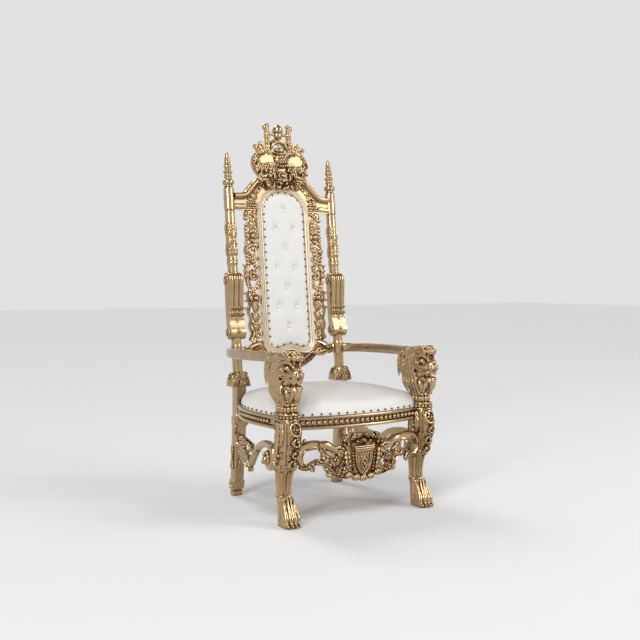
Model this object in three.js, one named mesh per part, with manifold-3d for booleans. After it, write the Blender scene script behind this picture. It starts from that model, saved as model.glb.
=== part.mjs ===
// A carved and gilded high-backed throne: lion-headed front legs with paw feet, turned rear posts with
// console scrolls and finials, a crowned crest, a pierced back round a padded panel, and a domed seat.
// Millimetres, +Z up, the front faces -Y, and the origin is on the floor under the middle of the throne.
import * as THREE from "three";
import { mergeVertices } from "three/addons/utils/BufferGeometryUtils.js";
import Module from "manifold-3d";

const wasm = await Module();
wasm.setup();

// Driving dimensions.
const POST_X = 284; // rear posts, each side of the middle
const POST_R = 24; // their plain shaft
const LEG_X = 345; // front legs, each side of the middle
const RAKE = THREE.MathUtils.degToRad(6.1); // the back leans backwards by this
const BACK_Y = 216; // where the raked plane of the posts meets the floor
const RAIL_TOP = 455; // top of the seat rails
const RAIL_DEEP = 55; // height of a seat rail
const SEAT_CROWN = 556; // top of the domed seat
const CROWN_TOP = 1800; // top of the crest
const PANEL_HALF = 110; // half width of the upholstered panel
const PANEL_LOW = 700; // lower edge of the panel
const PANEL_SPRING = 1352; // where its arch springs
const PANEL_TOP = 1456; // top of its arch
const MOULDING = 33; // width of the moulding round the panel
const CREST_LOW = 1362; // lower edge of the top rail
const ARM_Z = 686; // middle of an arm
const APRON_LOW = 165; // lowest carving under the seat
const GAP = 0.35; // clearance left between pieces that touch

const { sin, cos, PI, abs, sign, min, max } = Math;
const degrees = (a) => (a * PI) / 180;
const mix = (a, b, t) => a + (b - a) * t;
const count = (n, make) => Array.from({ length: n }, (_, i) => make(i));
// Distance up the raked back for a height above the floor.
const up = (z) => z / cos(RAKE);

// --- Solids from surfaces ------------------------------------------------------------------------

// A closed geometry as a solid, whichever way its faces point.
function solid(geometry) {
  const bare = new THREE.BufferGeometry().setAttribute("position", geometry.getAttribute("position"));
  if (geometry.index) bare.setIndex(geometry.index);
  const merged = mergeVertices(bare, 1e-3);
  const vertProperties = merged.attributes.position.array;
  const faces = new Uint32Array(merged.index.array);
  const make = (triVerts) => new wasm.Manifold(new wasm.Mesh({ numProp: 3, vertProperties, triVerts }));
  const made = make(faces);
  return made.volume() > 0 ? made : make(faces.slice().reverse());
}

const fuse = (solids) => solids.reduce((all, one) => all.add(one));
const moved = (made, x, y, z) => made.translate([x, y, z]);
const mirrored = (made) => made.add(made.mirror([1, 0, 0]));

// A solid back as a flat-shaded geometry. Specks that a cut leaves apart from the main body are dropped.
function geometryOf(made) {
  const main = made.decompose().reduce((best, body) => (body.volume() > best.volume() ? body : best));
  const mesh = main.getMesh();
  const geometry = new THREE.BufferGeometry();
  geometry.setAttribute("position", new THREE.BufferAttribute(new Float32Array(mesh.vertProperties), 3));
  geometry.setIndex(new THREE.BufferAttribute(new Uint32Array(mesh.triVerts), 1));
  const flat = geometry.toNonIndexed();
  flat.computeVertexNormals();
  return flat;
}

// A closed solid through rings of [x, y, z] points, capped at both ends, or joined end to start.
function loft(rings, joined = false) {
  const n = rings[0].length;
  const faces = [];
  for (let k = 0; k < (joined ? rings.length : rings.length - 1); k++) {
    const next = ((k + 1) % rings.length) * n;
    for (let i = 0; i < n; i++) {
      const j = (i + 1) % n;
      faces.push(k * n + i, k * n + j, next + i, k * n + j, next + j, next + i);
    }
  }
  if (!joined) {
    const end = (rings.length - 1) * n;
    const rim = rings.map((ring) => ring.map((p) => new THREE.Vector3(...p)));
    cap(rim[0]).forEach(([a, b, c]) => faces.push(a, c, b));
    cap(rim[rim.length - 1]).forEach(([a, b, c]) => faces.push(end + a, end + b, end + c));
  }
  const geometry = new THREE.BufferGeometry();
  geometry.setAttribute("position", new THREE.Float32BufferAttribute(rings.flat(2), 3));
  geometry.setIndex(faces);
  return solid(geometry);
}

// Triangles over a flat ring, as indices that run the ring's own way round.
function cap(ring) {
  const normal = new THREE.Vector3();
  ring.forEach((p, i) => normal.add(new THREE.Vector3().crossVectors(p, ring[(i + 1) % ring.length])));
  const flat = new THREE.Quaternion().setFromUnitVectors(normal.normalize(), new THREE.Vector3(0, 0, 1));
  const outline = ring.map((p) => p.clone().applyQuaternion(flat)).map((p) => new THREE.Vector2(p.x, p.y));
  return THREE.ShapeUtils.triangulateShape(outline, []);
}

// A turned solid standing on Z, from [height, radius] pairs.
function turned(profile, sides) {
  const points = profile.map(([z, r]) => new THREE.Vector2(r, z));
  points.unshift(new THREE.Vector2(0, profile[0][0]));
  points.push(new THREE.Vector2(0, profile[profile.length - 1][0]));
  return solid(new THREE.LatheGeometry(points, sides).rotateX(PI / 2));
}

// An egg-shaped boss, its pole facing the front.
function boss(x, y, z, rx, ry, rz, sides = 6, bands = 3) {
  return solid(new THREE.SphereGeometry(1, sides, bands).scale(rx, ry, rz).translate(x, y, z));
}

// A plate standing in the XZ plane from an outline of [x, z] points, its front face at y = front.
function plate(outline, front, thick) {
  return loft([outline.map(([x, z]) => [x, front, z]), outline.map(([x, z]) => [x, front + thick, z])]);
}

// The outline of a half-round on a straight foot.
const halfRound = (half, low, high, steps = 6) =>
  count(steps + 1, (i) => [half * cos((i * PI) / steps), low + high * sin((i * PI) / steps)]);

// An outline of [x, z] points for x > 0, completed by its mirror image.
const both = (outline) => [...outline, ...outline.map(([x, z]) => [-x, z]).reverse()];

const FRONT = new THREE.Vector3(0, -1, 0);

// A carved strap along a path: a ridge that stands `high` in front of the path, on a base behind it.
// The half width goes from w0 through w1 at its middle to w2.
function strap(path, [w0, w1, w2], high, base) {
  const rings = path.map((p, i) => {
    const t = i / (path.length - 1);
    const before = path[max(i - 1, 0)];
    const after = path[min(i + 1, path.length - 1)];
    const across = new THREE.Vector3().subVectors(after, before).cross(FRONT).normalize();
    const w = (1 - t) * (1 - 2 * t) * w0 + 4 * t * (1 - t) * w1 + t * (2 * t - 1) * w2;
    const corner = (u, v) => p.clone().addScaledVector(across, u).addScaledVector(FRONT, v).toArray();
    return [corner(-w, -base), corner(w, -base), corner(0.15 * w, high * max(w / max(w0, w1, w2), 0.6))];
  });
  return loft(rings);
}

// How far a carved surface stands at (x, z); most carvings lie in one plane.
const level = (y) => () => y;

// A strap through a few [x, z] points.
function scroll(points, widths, { steps = 3, high = 10, base = 8, y = level(0) } = {}) {
  const knots = points.map(([x, z]) => new THREE.Vector3(x, y(x, z), z));
  const path = new THREE.CatmullRomCurve3(knots, false, "centripetal").getSpacedPoints(steps);
  return strap(path, widths, high, base);
}

// A C-scroll round (x, z): from radius r0 at the angle a0 it turns by `turn` and closes in to radius r1.
function curl(x, z, r0, r1, a0, turn, widths, options = {}) {
  const steps = options.steps ?? 3;
  const points = count(steps + 1, (i) => {
    const r = mix(r0, r1, i / steps);
    const a = degrees(a0 + (turn * i) / steps);
    return [x + r * cos(a), z + r * sin(a)];
  });
  return scroll(points, widths, { ...options, steps });
}

// A pointed leaf from (x, z), `long` at the angle `a`, bent sideways by `bend`.
function leaf(x, z, long, a, wide, bend = 0, options = {}) {
  const tip = [x + long * cos(degrees(a)), z + long * sin(degrees(a))];
  const middle = [
    mix(x, tip[0], 0.5) - bend * sin(degrees(a)),
    mix(z, tip[1], 0.5) + bend * cos(degrees(a)),
  ];
  return scroll([[x, z], middle, tip], [0.6 * wide, wide, 0.25 * wide], { steps: 2, ...options });
}

// A flower: petals round a raised eye, facing the front.
function flower(x, y, z, r, petals = 5) {
  const ring = (share, depth) =>
    count(2 * petals, (i) => {
      const reach = share * (i % 2 ? 0.74 : 1) * r;
      return [x + reach * cos((i * PI) / petals), y + depth, z + reach * sin((i * PI) / petals)];
    });
  const petalled = loft([ring(1, 10), ring(1, 0), ring(0.35, -7)]);
  return fuse([petalled, boss(x, y - 4, z, 0.3 * r, 7, 0.3 * r, 4, 2)]);
}

// A level oval ring of points.
const oval = (x, y, z, rx, ry, sides) =>
  count(sides, (i) => [x + rx * cos((2 * PI * i) / sides), y + ry * sin((2 * PI * i) / sides), z]);

// The raked frame of the back: Z runs up the back and -Y is its front.
const rakedFrame = new THREE.Matrix4().makeRotationX(-RAKE).setPosition(0, BACK_Y, 0);
const raked = (made) => made.transform(rakedFrame.elements);

// --- Front leg: paw, shank, knee, chest and lion's head ------------------------------------------

// Height, middle in Y, half width, half depth and how deep the flutes are, from the paw to the chest.
const LEG_SECTIONS = [
  [0, -310, 41, 47, 0],
  [24, -311, 44, 49, 0],
  [88, -296, 38, 42, 0],
  [122, -281, 35, 36, 0.12],
  [205, -282, 39, 40, 0.12],
  [262, -299, 44, 53, 0],
  [345, -321, 44, 68, 0],
  [448, -313, 43, 58, 0],
  [453, -312, 49, 64, 0],
  [467, -309, 49, 61, 0],
  [472, -302, 42, 53, 0],
  [650, -290, 42, 66, 0],
];
const LEG_SIDES = 10;
const SQUARISH = 0.75; // under 1, a section bulges towards its corners

// A leg stands at x = 0 and faces -Y.
function legBody(grown = 0) {
  const bulge = (v) => sign(v) * abs(v) ** SQUARISH;
  return loft(
    LEG_SECTIONS.map(([z, y, hx, hy, flute]) =>
      oval(0, 0, z, 1, 1, LEG_SIDES).map(([u, v], i) => {
        const dip = i % 2 && !grown ? 1 - flute : 1;
        return [(hx * dip + grown) * bulge(u), y + (hy * dip + grown) * bulge(v), z];
      }),
    ),
  );
}

const TOES = 3;
const TOE_PITCH = 25;
const acrossToes = (i) => TOE_PITCH * (i - (TOES - 1) / 2);
const toe = (x) => boss(x, -350 + 0.009 * x ** 2, 34, 15, 26, 34, 5);
const toes = () => count(TOES, (i) => toe(acrossToes(i)));

// Skull, muzzle, nose, lower jaw and beard.
function headCore() {
  const beard = [[-388, 582, 17], [-382, 546, 12], [-362, 512, 6]];
  return [
    boss(0, -294, 670, 49, 90, 68, 8, 4),
    boss(0, -382, 643, 36, 47, 35, 6, 4),
    boss(0, -412, 636, 22, 16, 16, 5),
    boss(0, -380, 584, 28, 38, 18),
    loft(beard.map(([y, z, r]) => oval(0, y, z, r, 0.8 * r, 4))),
  ];
}

const MANE_CURLS = 3;

// Brow, jaw corner, chest flower and the curls of the mane on one side of the head.
function headSide(side) {
  return [
    boss(side * 29, -353, 670, 21, 30, 15, 5),
    boss(side * 34, -340, 604, 17, 34, 26, 5),
    boss(side * 21, -351, 522, 18, 14, 16, 5, 2),
    ...count(MANE_CURLS, (k) => boss(side * (38 - 2 * k), -238 + 9 * k, 694 - 56 * k, 19, 32, 34, 5)),
  ];
}

// The oval medallion and the drop of three flowers down the front of the knee.
function kneeFlowers() {
  const drop = count(3, (k) => boss(0, -379 + 14 * k + 6 * k * k, 356 - 45 * k, 24, 18, 24, 5, 2));
  return [boss(0, -380, 412, 27, 15, 30, 5, 2), ...drop];
}

const lionHead = () => [...headCore(), ...headSide(1), ...headSide(-1)];
const frontLeg = fuse([legBody(), ...toes(), ...lionHead(), ...kneeFlowers()]).trimByPlane([0, 0, 1], 0);

// Plain legs, a little larger, keep the rails, the aprons and the cushion clear of the carved ones.
const legCutter = moved(legBody(2 * GAP), LEG_X, 0, 0);
const cutByLegs = (made) => made.subtract(legCutter).subtract(legCutter.mirror([1, 0, 0]));

// --- Rear post: turned shaft, finial, console scroll, capital and square leg ---------------------

const SHAFT = [
  [575, POST_R], [1100, POST_R], [1105, 27], [1125, 27],
  [1130, POST_R], [1165, 27], [1290, 26.5], [1303, POST_R], [1354, POST_R], [1358, 26], [1464, 25],
  [1479, 19.5], [1487, 28], [1502, 26], [1507, 17], [1534, 16], [1541, 23.5], [1557, 13], [1570, 18.5],
  [1584, 12], [1637, 3],
];
const SHAFT_SIDES = 8;
const CONSOLE_HALF = 38; // half width of the console scroll
const REEDS = 3; // across its front
const SCROLL_TOP = 1026; // middle of its upper roll
const SCROLL_LOW = 775; // middle of its lower roll

// Side view of the console as [y, z]: an upper roll, a long front, a collar and a lower roll.
function consoleOutline() {
  const roll = (y, z, r, a0, turn, steps) =>
    count(steps + 1, (i) => {
      const a = degrees(a0 + (turn * i) / steps);
      return [y + r * cos(a), z + r * sin(a)];
    });
  const front = [[-26, 898], [-32, 888], [-32, 858], [-25, 848]];
  return [...roll(-5, SCROLL_TOP, 33, -30, 215, 4), ...front, ...roll(-1, SCROLL_LOW, 31, 150, 215, 3)];
}

// The console is reeded: seen from the front its surface rises and falls across the width.
function consoleScroll() {
  const stations = count(2 * REEDS + 1, (i) => [CONSOLE_HALF * (i / REEDS - 1), i % 2 ? 1 : 0.9]);
  const body = loft(
    stations.map(([x, grow]) => consoleOutline().map(([y, z]) => [x, y > 5 ? y : mix(5, y, grow), z])),
  );
  const eye = (y, z) => boss(0, y, z, CONSOLE_HALF + 7, 15, 15);
  const eyes = [eye(-5, SCROLL_TOP), eye(-1, SCROLL_LOW)];
  return fuse([body, ...eyes, boss(0, -34, SCROLL_LOW - 6, 11, 7, 11, 5, 2)]);
}

// The capital under the shaft shows a half-round lunette on each face.
function capital(y) {
  const front = moved(plate(halfRound(45, 525, 66, 5), -34, 68), 0, y, 0);
  const arch = moved(plate(halfRound(30, 529, 46, 5), -38, 6), 0, y, 0);
  const turn = new THREE.Matrix4().makeRotationZ(PI / 2);
  const sides = moved(plate(halfRound(33, 525, 60, 5), -46, 92).transform(turn.elements), 0, y, 0);
  return [front, arch, sides];
}

// The square rear leg: height, middle in Y, half width, half depth.
const REAR_LEG = [
  [0, 300, 22, 20], [25, 298, 24, 22], [29, 298, 30, 27], [76, 293, 30, 28], [82, 291, 26, 24],
  [330, 268, 28, 26],
  [372, 265, 31, 29], [382, 264, 28, 24], [530, 264, 28, 24],
];

function rearLeg() {
  const corners = [[1, 1], [-1, 1], [-1, -1], [1, -1]];
  const body = loft(REAR_LEG.map(([z, y, hx, hy]) => corners.map(([u, v]) => [hx * u, y + hy * v, z])));
  return [body, boss(26, 288, 140, 9, 13, 22, 4, 2)];
}

function rearPost() {
  const shaft = turned(SHAFT.map(([z, r]) => [up(z), r]), SHAFT_SIDES);
  const medallion = boss(0, -24, up(1215), 11, 8, 17, 5, 2);
  const upper = fuse([shaft, medallion, moved(consoleScroll(), 0, 0, up(900) - 900)]);
  return fuse([raked(upper), ...capital(272), ...rearLeg()]);
}

// What cuts the pieces between the posts clear of them.
const postCutter = turned([[560, 28], [1480, 28]].map(([z, r]) => [up(z), r]), 12);
const postCutters = mirrored(moved(postCutter, POST_X, 0, 0));
const cutByPosts = (made) => made.subtract(postCutters);

// --- Upholstered panel and the moulding round it, in the raked frame -----------------------------

// Outline of the panel grown outwards: straight sides, an arched top and a bracketed foot.
function panelOutline(grow) {
  const half = PANEL_HALF + grow;
  const low = up(PANEL_LOW) - grow;
  const round = 34 + 0.6 * grow;
  const arch = halfRound(half, up(PANEL_SPRING), PANEL_TOP - PANEL_SPRING + grow, 8);
  const turn = (d) => [-half + round * (1 - cos(degrees(d))), low + round * (1 - sin(degrees(d)))];
  const foot = [0, 45, 90].map(turn);
  return [...arch, ...foot, [0, low + 17], ...foot.map(([x, z]) => [-x, z]).reverse()];
}

const panelHole = plate(panelOutline(MOULDING + 2 * GAP), -80, 160);

// Across the moulding from its inner edge, and how far it stands in front of the plane of the posts.
const MOULDING_PROFILE = [[0, -6], [0, 15], [9, 20], [18, 14], [25, 22], [MOULDING, 14], [MOULDING, -12]];

function panelMoulding() {
  const row = ([across, proud]) => panelOutline(across + GAP).map(([x, z]) => [x, -proud, z]);
  const rows = MOULDING_PROFILE.map(row);
  return loft(rows[0].map((_, i) => rows.map((row) => row[i])), true);
}

function backPad() {
  const rows = [[-2, 12], [-2, -12], [-9, -18], [-40, -23]];
  return loft(rows.map(([grow, y]) => panelOutline(grow).map(([x, z]) => [x, y, z])));
}

// --- Pierced side strip of the back, in the raked frame ------------------------------------------

const STRIP_X = 174; // middle of the strip
const STRIP_LOW = 734; // its foot, on the lower rail
const ROSES = [1238, 937];

// The right-hand strip: scrolls, two roses and a drop of husks between the moulding and the post.
function sideStrip() {
  const scrolls = [
    scroll([[146, 1370], [182, 1357], [205, 1337], [197, 1318]], [9, 11, 7]),
    leaf(151, 1358, 112, -78, 12, 5),
    curl(190, 1286, 26, 22, 80, -190, [5, 8, 7]),
    curl(182, 1186, 32, 30, 110, -190, [9, 9, 8]),
    scroll([[158, 1220], [152, 1168], [188, 1104], [210, 1050], [198, 990], [176, 962]], [8, 10, 9], {
      steps: 7,
    }),
    curl(166, 1060, 28, 16, 110, -230, [8, 9, 7]),
    leaf(144, 1036, 82, -62, 13, -6),
    leaf(STRIP_X + 4, 920, 120, -86, 19, 4),
    leaf(STRIP_X + 8, 812, 112, -82, 20, 3),
    leaf(143, 866, 66, -42, 11, -4),
    scroll([[178, 742], [196, 716], [216, 696]], [14, 16, 14], { steps: 2 }),
  ].map((made) => moved(made, 0, 0, up(1040) - 1040));
  const roses = ROSES.map((z) => flower(STRIP_X, -9, up(z), 31, 5));
  const whole = fuse([...scrolls, ...roses]).subtract(panelHole);
  return whole.trimByPlane([0, 0, 1], up(STRIP_LOW)).trimByPlane([0, 0, -1], GAP - up(CREST_LOW));
}

// --- Crest: moulded top rail, carved spandrels and the crowned cartouche, in the raked frame -----

// The upper edge of the rail, from the post to the middle.
const CREST_LINE = [
  [262, 1425], [222, 1427], [196, 1437], [168, 1466], [140, 1496], [108, 1508], [0, 1510],
];
const risen = (points) => points.map(([x, z]) => [x, up(z)]);

function crestRail() {
  const half = risen(CREST_LINE);
  const line = [...half, ...half.slice(0, -1).map(([x, z]) => [-x, z]).reverse()];
  const rail = scroll(line, [18, 18, 18], { steps: 12, high: 30, base: 14 });
  const ground = plate([...line, [-262, up(CREST_LOW)], [262, up(CREST_LOW)]], -8, 20);
  const side = fuse([
    scroll(risen([[262, 1382], [206, 1382]]), [16, 16, 12], { steps: 1, high: 20 }),
    scroll(risen([[196, 1384], [160, 1416], [128, 1470]]), [8, 12, 8], { steps: 2, high: 17 }),
  ]);
  return [rail, ground, mirrored(side)];
}

// The cartouche over the rail: puffed lobes, a cone, leaves, beads and scrolls.
function cartouche() {
  const edge = [[70, 1690], [132, 1660], [152, 1600], [146, 1550], [78, 1492]];
  const ground = plate(both(risen(edge)), -9, 22);
  const high = { high: 22, base: 4, steps: 4 };
  const side = fuse([
    boss(92, -10, up(1628), 54, 29, 31, 7),
    boss(116, -6, up(1588), 34, 21, 24, 5),
    curl(122, up(1604), 36, 40, -70, 140, [6, 10, 5], { ...high, steps: 3 }),
    curl(102, up(1682), 20, 20, -20, 230, [8, 16, 9], { ...high, high: 15 }),
    leaf(140, up(1556), 62, 200, 14, 8, high),
    curl(58, up(1522), 26, 20, 80, -200, [7, 12, 8], high),
  ]);
  const middle = [
    boss(0, -12, up(1624), 34, 26, 38, 6),
    boss(0, -16, up(1583), 42, 16, 10, 5),
    boss(0, -20, up(1538), 28, 12, 28, 5),
  ];
  return [ground, mirrored(side), ...middle];
}

// The open crown on top: an arched band round a jewel, two knobbed uprights, a cross bar and a domed cap.
function openCrown() {
  const profile = [[1670, 12], [1720, 10], [1729, 14], [1740, 10], [1780, 12]];
  const stem = turned(profile.map(([z, r]) => [up(z), r]), 5);
  const side = fuse([stem, boss(-1, 0, up(1787), 21, 16, 16, 5)]);
  return [
    curl(0, up(1672), 52, 52, -18, 216, [9, 11, 9], { steps: 6, high: 15, base: 11 }),
    mirrored(moved(side, 59, 2, 0)),
    scroll(risen([[-58, 1750], [58, 1750]]), [7, 7, 7], { steps: 1, high: 8 }),
    boss(0, -4, up(1674), 36, 21, 22),
    boss(0, 0, up(1742), 27, 22, 26),
    boss(0, 0, up(1770), 30, 22, CROWN_TOP - 1779),
    turned([[1680, 10], [1740, 9]].map(([z, r]) => [up(z), r]), 4),
  ];
}

const crest = () => cutByPosts(fuse([...crestRail(), ...cartouche(), ...openCrown()]).subtract(panelHole));

// --- Lower rail of the back: shells at the posts and a pierced swag under the panel --------------

function lowerBackRail() {
  const wide = { high: 14, base: 8, steps: 4 };
  const side = fuse([
    scroll([[264, 686], [220, 700], [176, 716], [142, 706]], [20, 18, 8], { ...wide, steps: 3 }),
    curl(190, 692, 30, 24, -30, -160, [9, 14, 9], wide),
    scroll([[170, 684], [140, 664], [100, 628], [50, 604], [-8, 598]], [9, 10, 12], { steps: 5 }),
    curl(92, 668, 24, 14, 190, 170, [7, 9, 7], { steps: 3 }),
    leaf(12, 684, 70, -76, 10, -6),
    leaf(40, 648, 52, -110, 10, 4),
  ]);
  const band = plate(both([[140, 692], [140, 664]]), 0, 12);
  const all = fuse([mirrored(side), band, boss(0, -6, 628, 22, 18, 30)]);
  return cutByPosts(moved(all, 0, 0, up(650) - 650).subtract(panelHole));
}

// --- Seat: bowed rails with a row of beads, and the domed cushion --------------------------------

// Middle line of each rail in plan.
const FRONT_RAIL = [[-318, -318], [-160, -356], [0, -370], [160, -356], [318, -318]];
const SIDE_RAIL = [[262, 262], [312, 190], [358, 90], [380, -20], [378, -130], [366, -262]];
const LIP = 12; // how far the mouldings stand out from the middle line
const HOLLOW = 5; // and the hollows between them

// A rail along a plan line: a lip above and below, and between them the round moulding of beads.
function beadedRail(line, steps) {
  const knots = line.map(([x, y]) => new THREE.Vector3(x, y, 0));
  const path = new THREE.CatmullRomCurve3(knots, false, "centripetal").getSpacedPoints(steps);
  const section = [
    [-14, 0], [LIP, 0], [LIP, 12], [HOLLOW, 15], [LIP + 3, 22], [LIP + 3, 33], [HOLLOW, 40], [LIP, 43],
    [LIP, RAIL_DEEP], [-14, RAIL_DEEP],
  ];
  return loft(
    path.map((p, i) => {
      const ahead = path[min(i + 1, steps)];
      const run = new THREE.Vector3().subVectors(ahead, path[max(i - 1, 0)]).normalize();
      return section.map(([u, v]) => [p.x - run.y * u, p.y + run.x * u, RAIL_TOP - RAIL_DEEP + v]);
    }),
  );
}

const rearLegCutter = mirrored(plate([[252, 380], [330, 380], [330, 620], [252, 620]], 236, 80));
const frontRail = () => cutByLegs(beadedRail([...FRONT_RAIL].reverse(), 6));
const sideRail = () => cutByLegs(beadedRail([...SIDE_RAIL].reverse(), 6)).subtract(rearLegCutter);

// The cushion, domed from a plan outline that swells with the rails.
function cushion() {
  const row = (line, n) => {
    const knots = line.map(([x, y]) => new THREE.Vector3(x, y, 0));
    return new THREE.CatmullRomCurve3(knots).getSpacedPoints(n).map((p) => [p.x, p.y]);
  };
  const right = row(SIDE_RAIL.slice(1), 5);
  const left = right.map(([x, y]) => [-x, y]).reverse();
  const front = row(FRONT_RAIL, 5).map(([x, y]) => [x, y - 6]);
  const plan = [...front, ...right.reverse(), [240, 236], [-240, 236], ...left.reverse()];
  const deep = SEAT_CROWN - RAIL_TOP;
  const dome = [[1, GAP], [1.005, 14], [0.97, 46], [0.8, 0.83 * deep], [0.4, deep]];
  const ring = ([share, z]) => plan.map(([x, y]) => [x * share, mix(-50, y, share), RAIL_TOP + z]);
  return cutByLegs(loft(dome.map(ring))).subtract(rearLegCutter);
}

// --- Arms ----------------------------------------------------------------------------------------

const ARM_LINE = [[298, 292], [330, 262], [362, 180], [374, 60], [368, -70], [352, -240]];
const ARM_HALF = 19;
const ARM_RISE = 22;
const MANE_Y = -199; // the arms end at the back of the manes

function arm() {
  const knots = ARM_LINE.map(([x, y], i) => new THREE.Vector3(x, y, ARM_Z - 2 + 3 * i));
  const path = new THREE.CatmullRomCurve3(knots).getSpacedPoints(8);
  const section = [[-0.8, -1], [0.8, -1], [1, 0], [0.8, 1], [-0.8, 1], [-1, 0]];
  const rings = path.map((p, i) => {
    const run = new THREE.Vector3().subVectors(path[min(i + 1, 8)], path[max(i - 1, 0)]);
    const side = run.setZ(0).setLength(ARM_HALF);
    return section.map(([u, v]) => [p.x - side.y * u, p.y + side.x * u, p.z + ARM_RISE * v]);
  });
  return loft(rings).trimByPlane([0, 1, 0], MANE_Y + GAP).subtract(raked(moved(postCutter, POST_X, 0, 0)));
}

// --- Aprons between the legs ---------------------------------------------------------------------

// The front apron bows forwards: its middle plane at x.
const bowed = (x) => -332 - 18 * cos((PI * min(abs(x), 300)) / 600);
const BOWED = { y: bowed, high: 15, base: 8 };

function shield() {
  const y = bowed(0);
  const outline = both([[48, 318], [45, 262], [32, 216], [2, 188]]);
  const arch = both([[80, 318], [70, 344], [40, 360]]);
  return [
    plate(both([[88, 326], [80, 186]]), y + 2, 9),
    plate(outline, y - 22, 30),
    boss(0, y - 20, 258, 30, 12, 46, 5, 2),
    plate(arch, y - 12, 20),
  ];
}

function frontApron() {
  const broad = { ...BOWED, steps: 5 };
  const half = fuse([
    scroll([[318, 316], [282, 338], [234, 336], [182, 322], [110, 294]], [13, 19, 12], BOWED),
    scroll([[318, 330], [302, 290], [284, 254], [244, 246], [200, 276]], [13, 12, 9], broad),
    scroll([[196, 310], [196, 262], [168, 212], [120, 196], [56, 186]], [11, 15, 11], broad),
    curl(132, 246, 40, 22, 100, -270, [10, 12, 9], broad),
    boss(130, bowed(130), 244, 22, 16, 22, 5, 2),
    scroll([[100, 326], [78, 262], [52, 200]], [10, 13, 9], BOWED),
  ]);
  const drop = (x) => boss(x, bowed(x) - 4, APRON_LOW + 10 + 0.003 * x * x, 19, 18, 17, 5, 2);
  return cutByLegs(fuse([mirrored(fuse([half, drop(37), drop(74)])), drop(0), ...shield()]));
}

const SIDE_APRON_X = 336; // the side apron stands here, at its middle
const SPLAY = degrees(7); // and turns outwards to follow the seat

// The side apron is carved flat with its rear end at +X, then stood along the side of the seat.
function sideApron() {
  const broad = { high: 14, base: 9 };
  const hook = [[-150, 238], [-196, 228], [-240, 262], [-226, 310], [-150, 320]];
  const fall = [[-72, 302], [-10, 258], [44, 206], [84, 184]];
  const flat = fuse([
    scroll([...hook, ...fall], [9, 14, 15, 14], { ...broad, steps: 8 }),
    boss(-138, -6, 246, 17, 14, 17),
    boss(52, -6, 184, 19, 14, 18),
    scroll([[242, 294], [180, 292], [100, 282], [-10, 280]], [20, 22, 12], { ...broad, steps: 4 }),
    scroll([[242, 262], [166, 242], [80, 202]], [24, 28, 18], { ...broad, steps: 3 }),
    leaf(160, 276, 100, 208, 20, 6, broad),
  ]);
  const stand = new THREE.Matrix4().makeRotationZ(PI / 2 + SPLAY).setPosition(SIDE_APRON_X, 0, 0);
  return cutByLegs(flat.transform(stand.elements));
}

const rearRail = () => plate([[-251, 400], [251, 400], [251, RAIL_TOP], [-251, RAIL_TOP]], 246, 24);

// --- The throne ----------------------------------------------------------------------------------

const gilt = new THREE.MeshStandardMaterial({ color: 0xb8955a, roughness: 0.35, metalness: 0.85 });
const whiteHide = new THREE.MeshStandardMaterial({ color: 0xe9e6e0, roughness: 0.55, metalness: 0 });

function piece(name, made, material = gilt) {
  const mesh = new THREE.Mesh(geometryOf(made), material);
  mesh.name = name;
  return mesh;
}

// The same piece on the right and, mirrored, on the left.
function pair(name, made, x = 0) {
  const right = piece(`${name}_right`, made);
  const left = new THREE.Mesh(right.geometry, gilt);
  left.name = `${name}_left`;
  right.position.x = x;
  left.position.x = -x;
  left.scale.x = -1;
  return [right, left];
}

const back = new THREE.Group();
back.applyMatrix4(rakedFrame);
back.add(
  piece("crest_rail", crest()),
  piece("panel_moulding", panelMoulding()),
  ...pair("side_strip", sideStrip()),
  piece("lower_back_rail", lowerBackRail()),
  piece("back_pad", backPad(), whiteHide),
);

const throne = new THREE.Group();
throne.add(
  back,
  ...pair("rear_post", rearPost(), POST_X),
  ...pair("front_leg", frontLeg, LEG_X),
  ...pair("arm", arm()),
  ...pair("side_rail", sideRail()),
  ...pair("side_apron", sideApron()),
  piece("front_rail", frontRail()),
  piece("rear_rail", rearRail()),
  piece("front_apron", frontApron()),
  piece("seat_cushion", cushion(), whiteHide),
);

export default throne;
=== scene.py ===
"""A carved and gilded throne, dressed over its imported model.

Every form is a parametric surface worked out with numpy, whole arrays at a time: a section carried
along a path, a profile turned round an axis, or a grid over two parameters. Sizes are in millimetres
up to the moment when a shell becomes a Blender mesh, which is in metres.
"""

import logging
import math
from dataclasses import dataclass
from enum import Enum
from typing import Callable, Sequence

import bmesh
import bpy
import numpy as np
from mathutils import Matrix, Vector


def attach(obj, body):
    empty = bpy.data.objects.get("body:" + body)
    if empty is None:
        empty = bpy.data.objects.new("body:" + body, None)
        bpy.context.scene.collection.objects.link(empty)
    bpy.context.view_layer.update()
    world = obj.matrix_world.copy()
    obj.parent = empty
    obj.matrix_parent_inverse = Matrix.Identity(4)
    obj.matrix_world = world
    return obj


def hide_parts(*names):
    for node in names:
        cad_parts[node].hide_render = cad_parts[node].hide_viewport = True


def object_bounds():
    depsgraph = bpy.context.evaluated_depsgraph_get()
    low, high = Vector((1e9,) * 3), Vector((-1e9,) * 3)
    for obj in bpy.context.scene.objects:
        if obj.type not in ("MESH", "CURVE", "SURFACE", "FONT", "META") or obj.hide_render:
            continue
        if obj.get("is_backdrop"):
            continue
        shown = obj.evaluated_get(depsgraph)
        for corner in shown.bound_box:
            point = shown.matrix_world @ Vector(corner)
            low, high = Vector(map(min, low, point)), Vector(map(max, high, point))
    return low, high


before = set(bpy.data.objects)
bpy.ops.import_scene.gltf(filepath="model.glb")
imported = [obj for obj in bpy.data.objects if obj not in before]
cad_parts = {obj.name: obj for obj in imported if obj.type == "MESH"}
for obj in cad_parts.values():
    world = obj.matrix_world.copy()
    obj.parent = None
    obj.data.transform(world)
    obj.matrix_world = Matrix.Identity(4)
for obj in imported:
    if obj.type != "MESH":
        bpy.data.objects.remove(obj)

log = logging.getLogger("throne")

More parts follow.
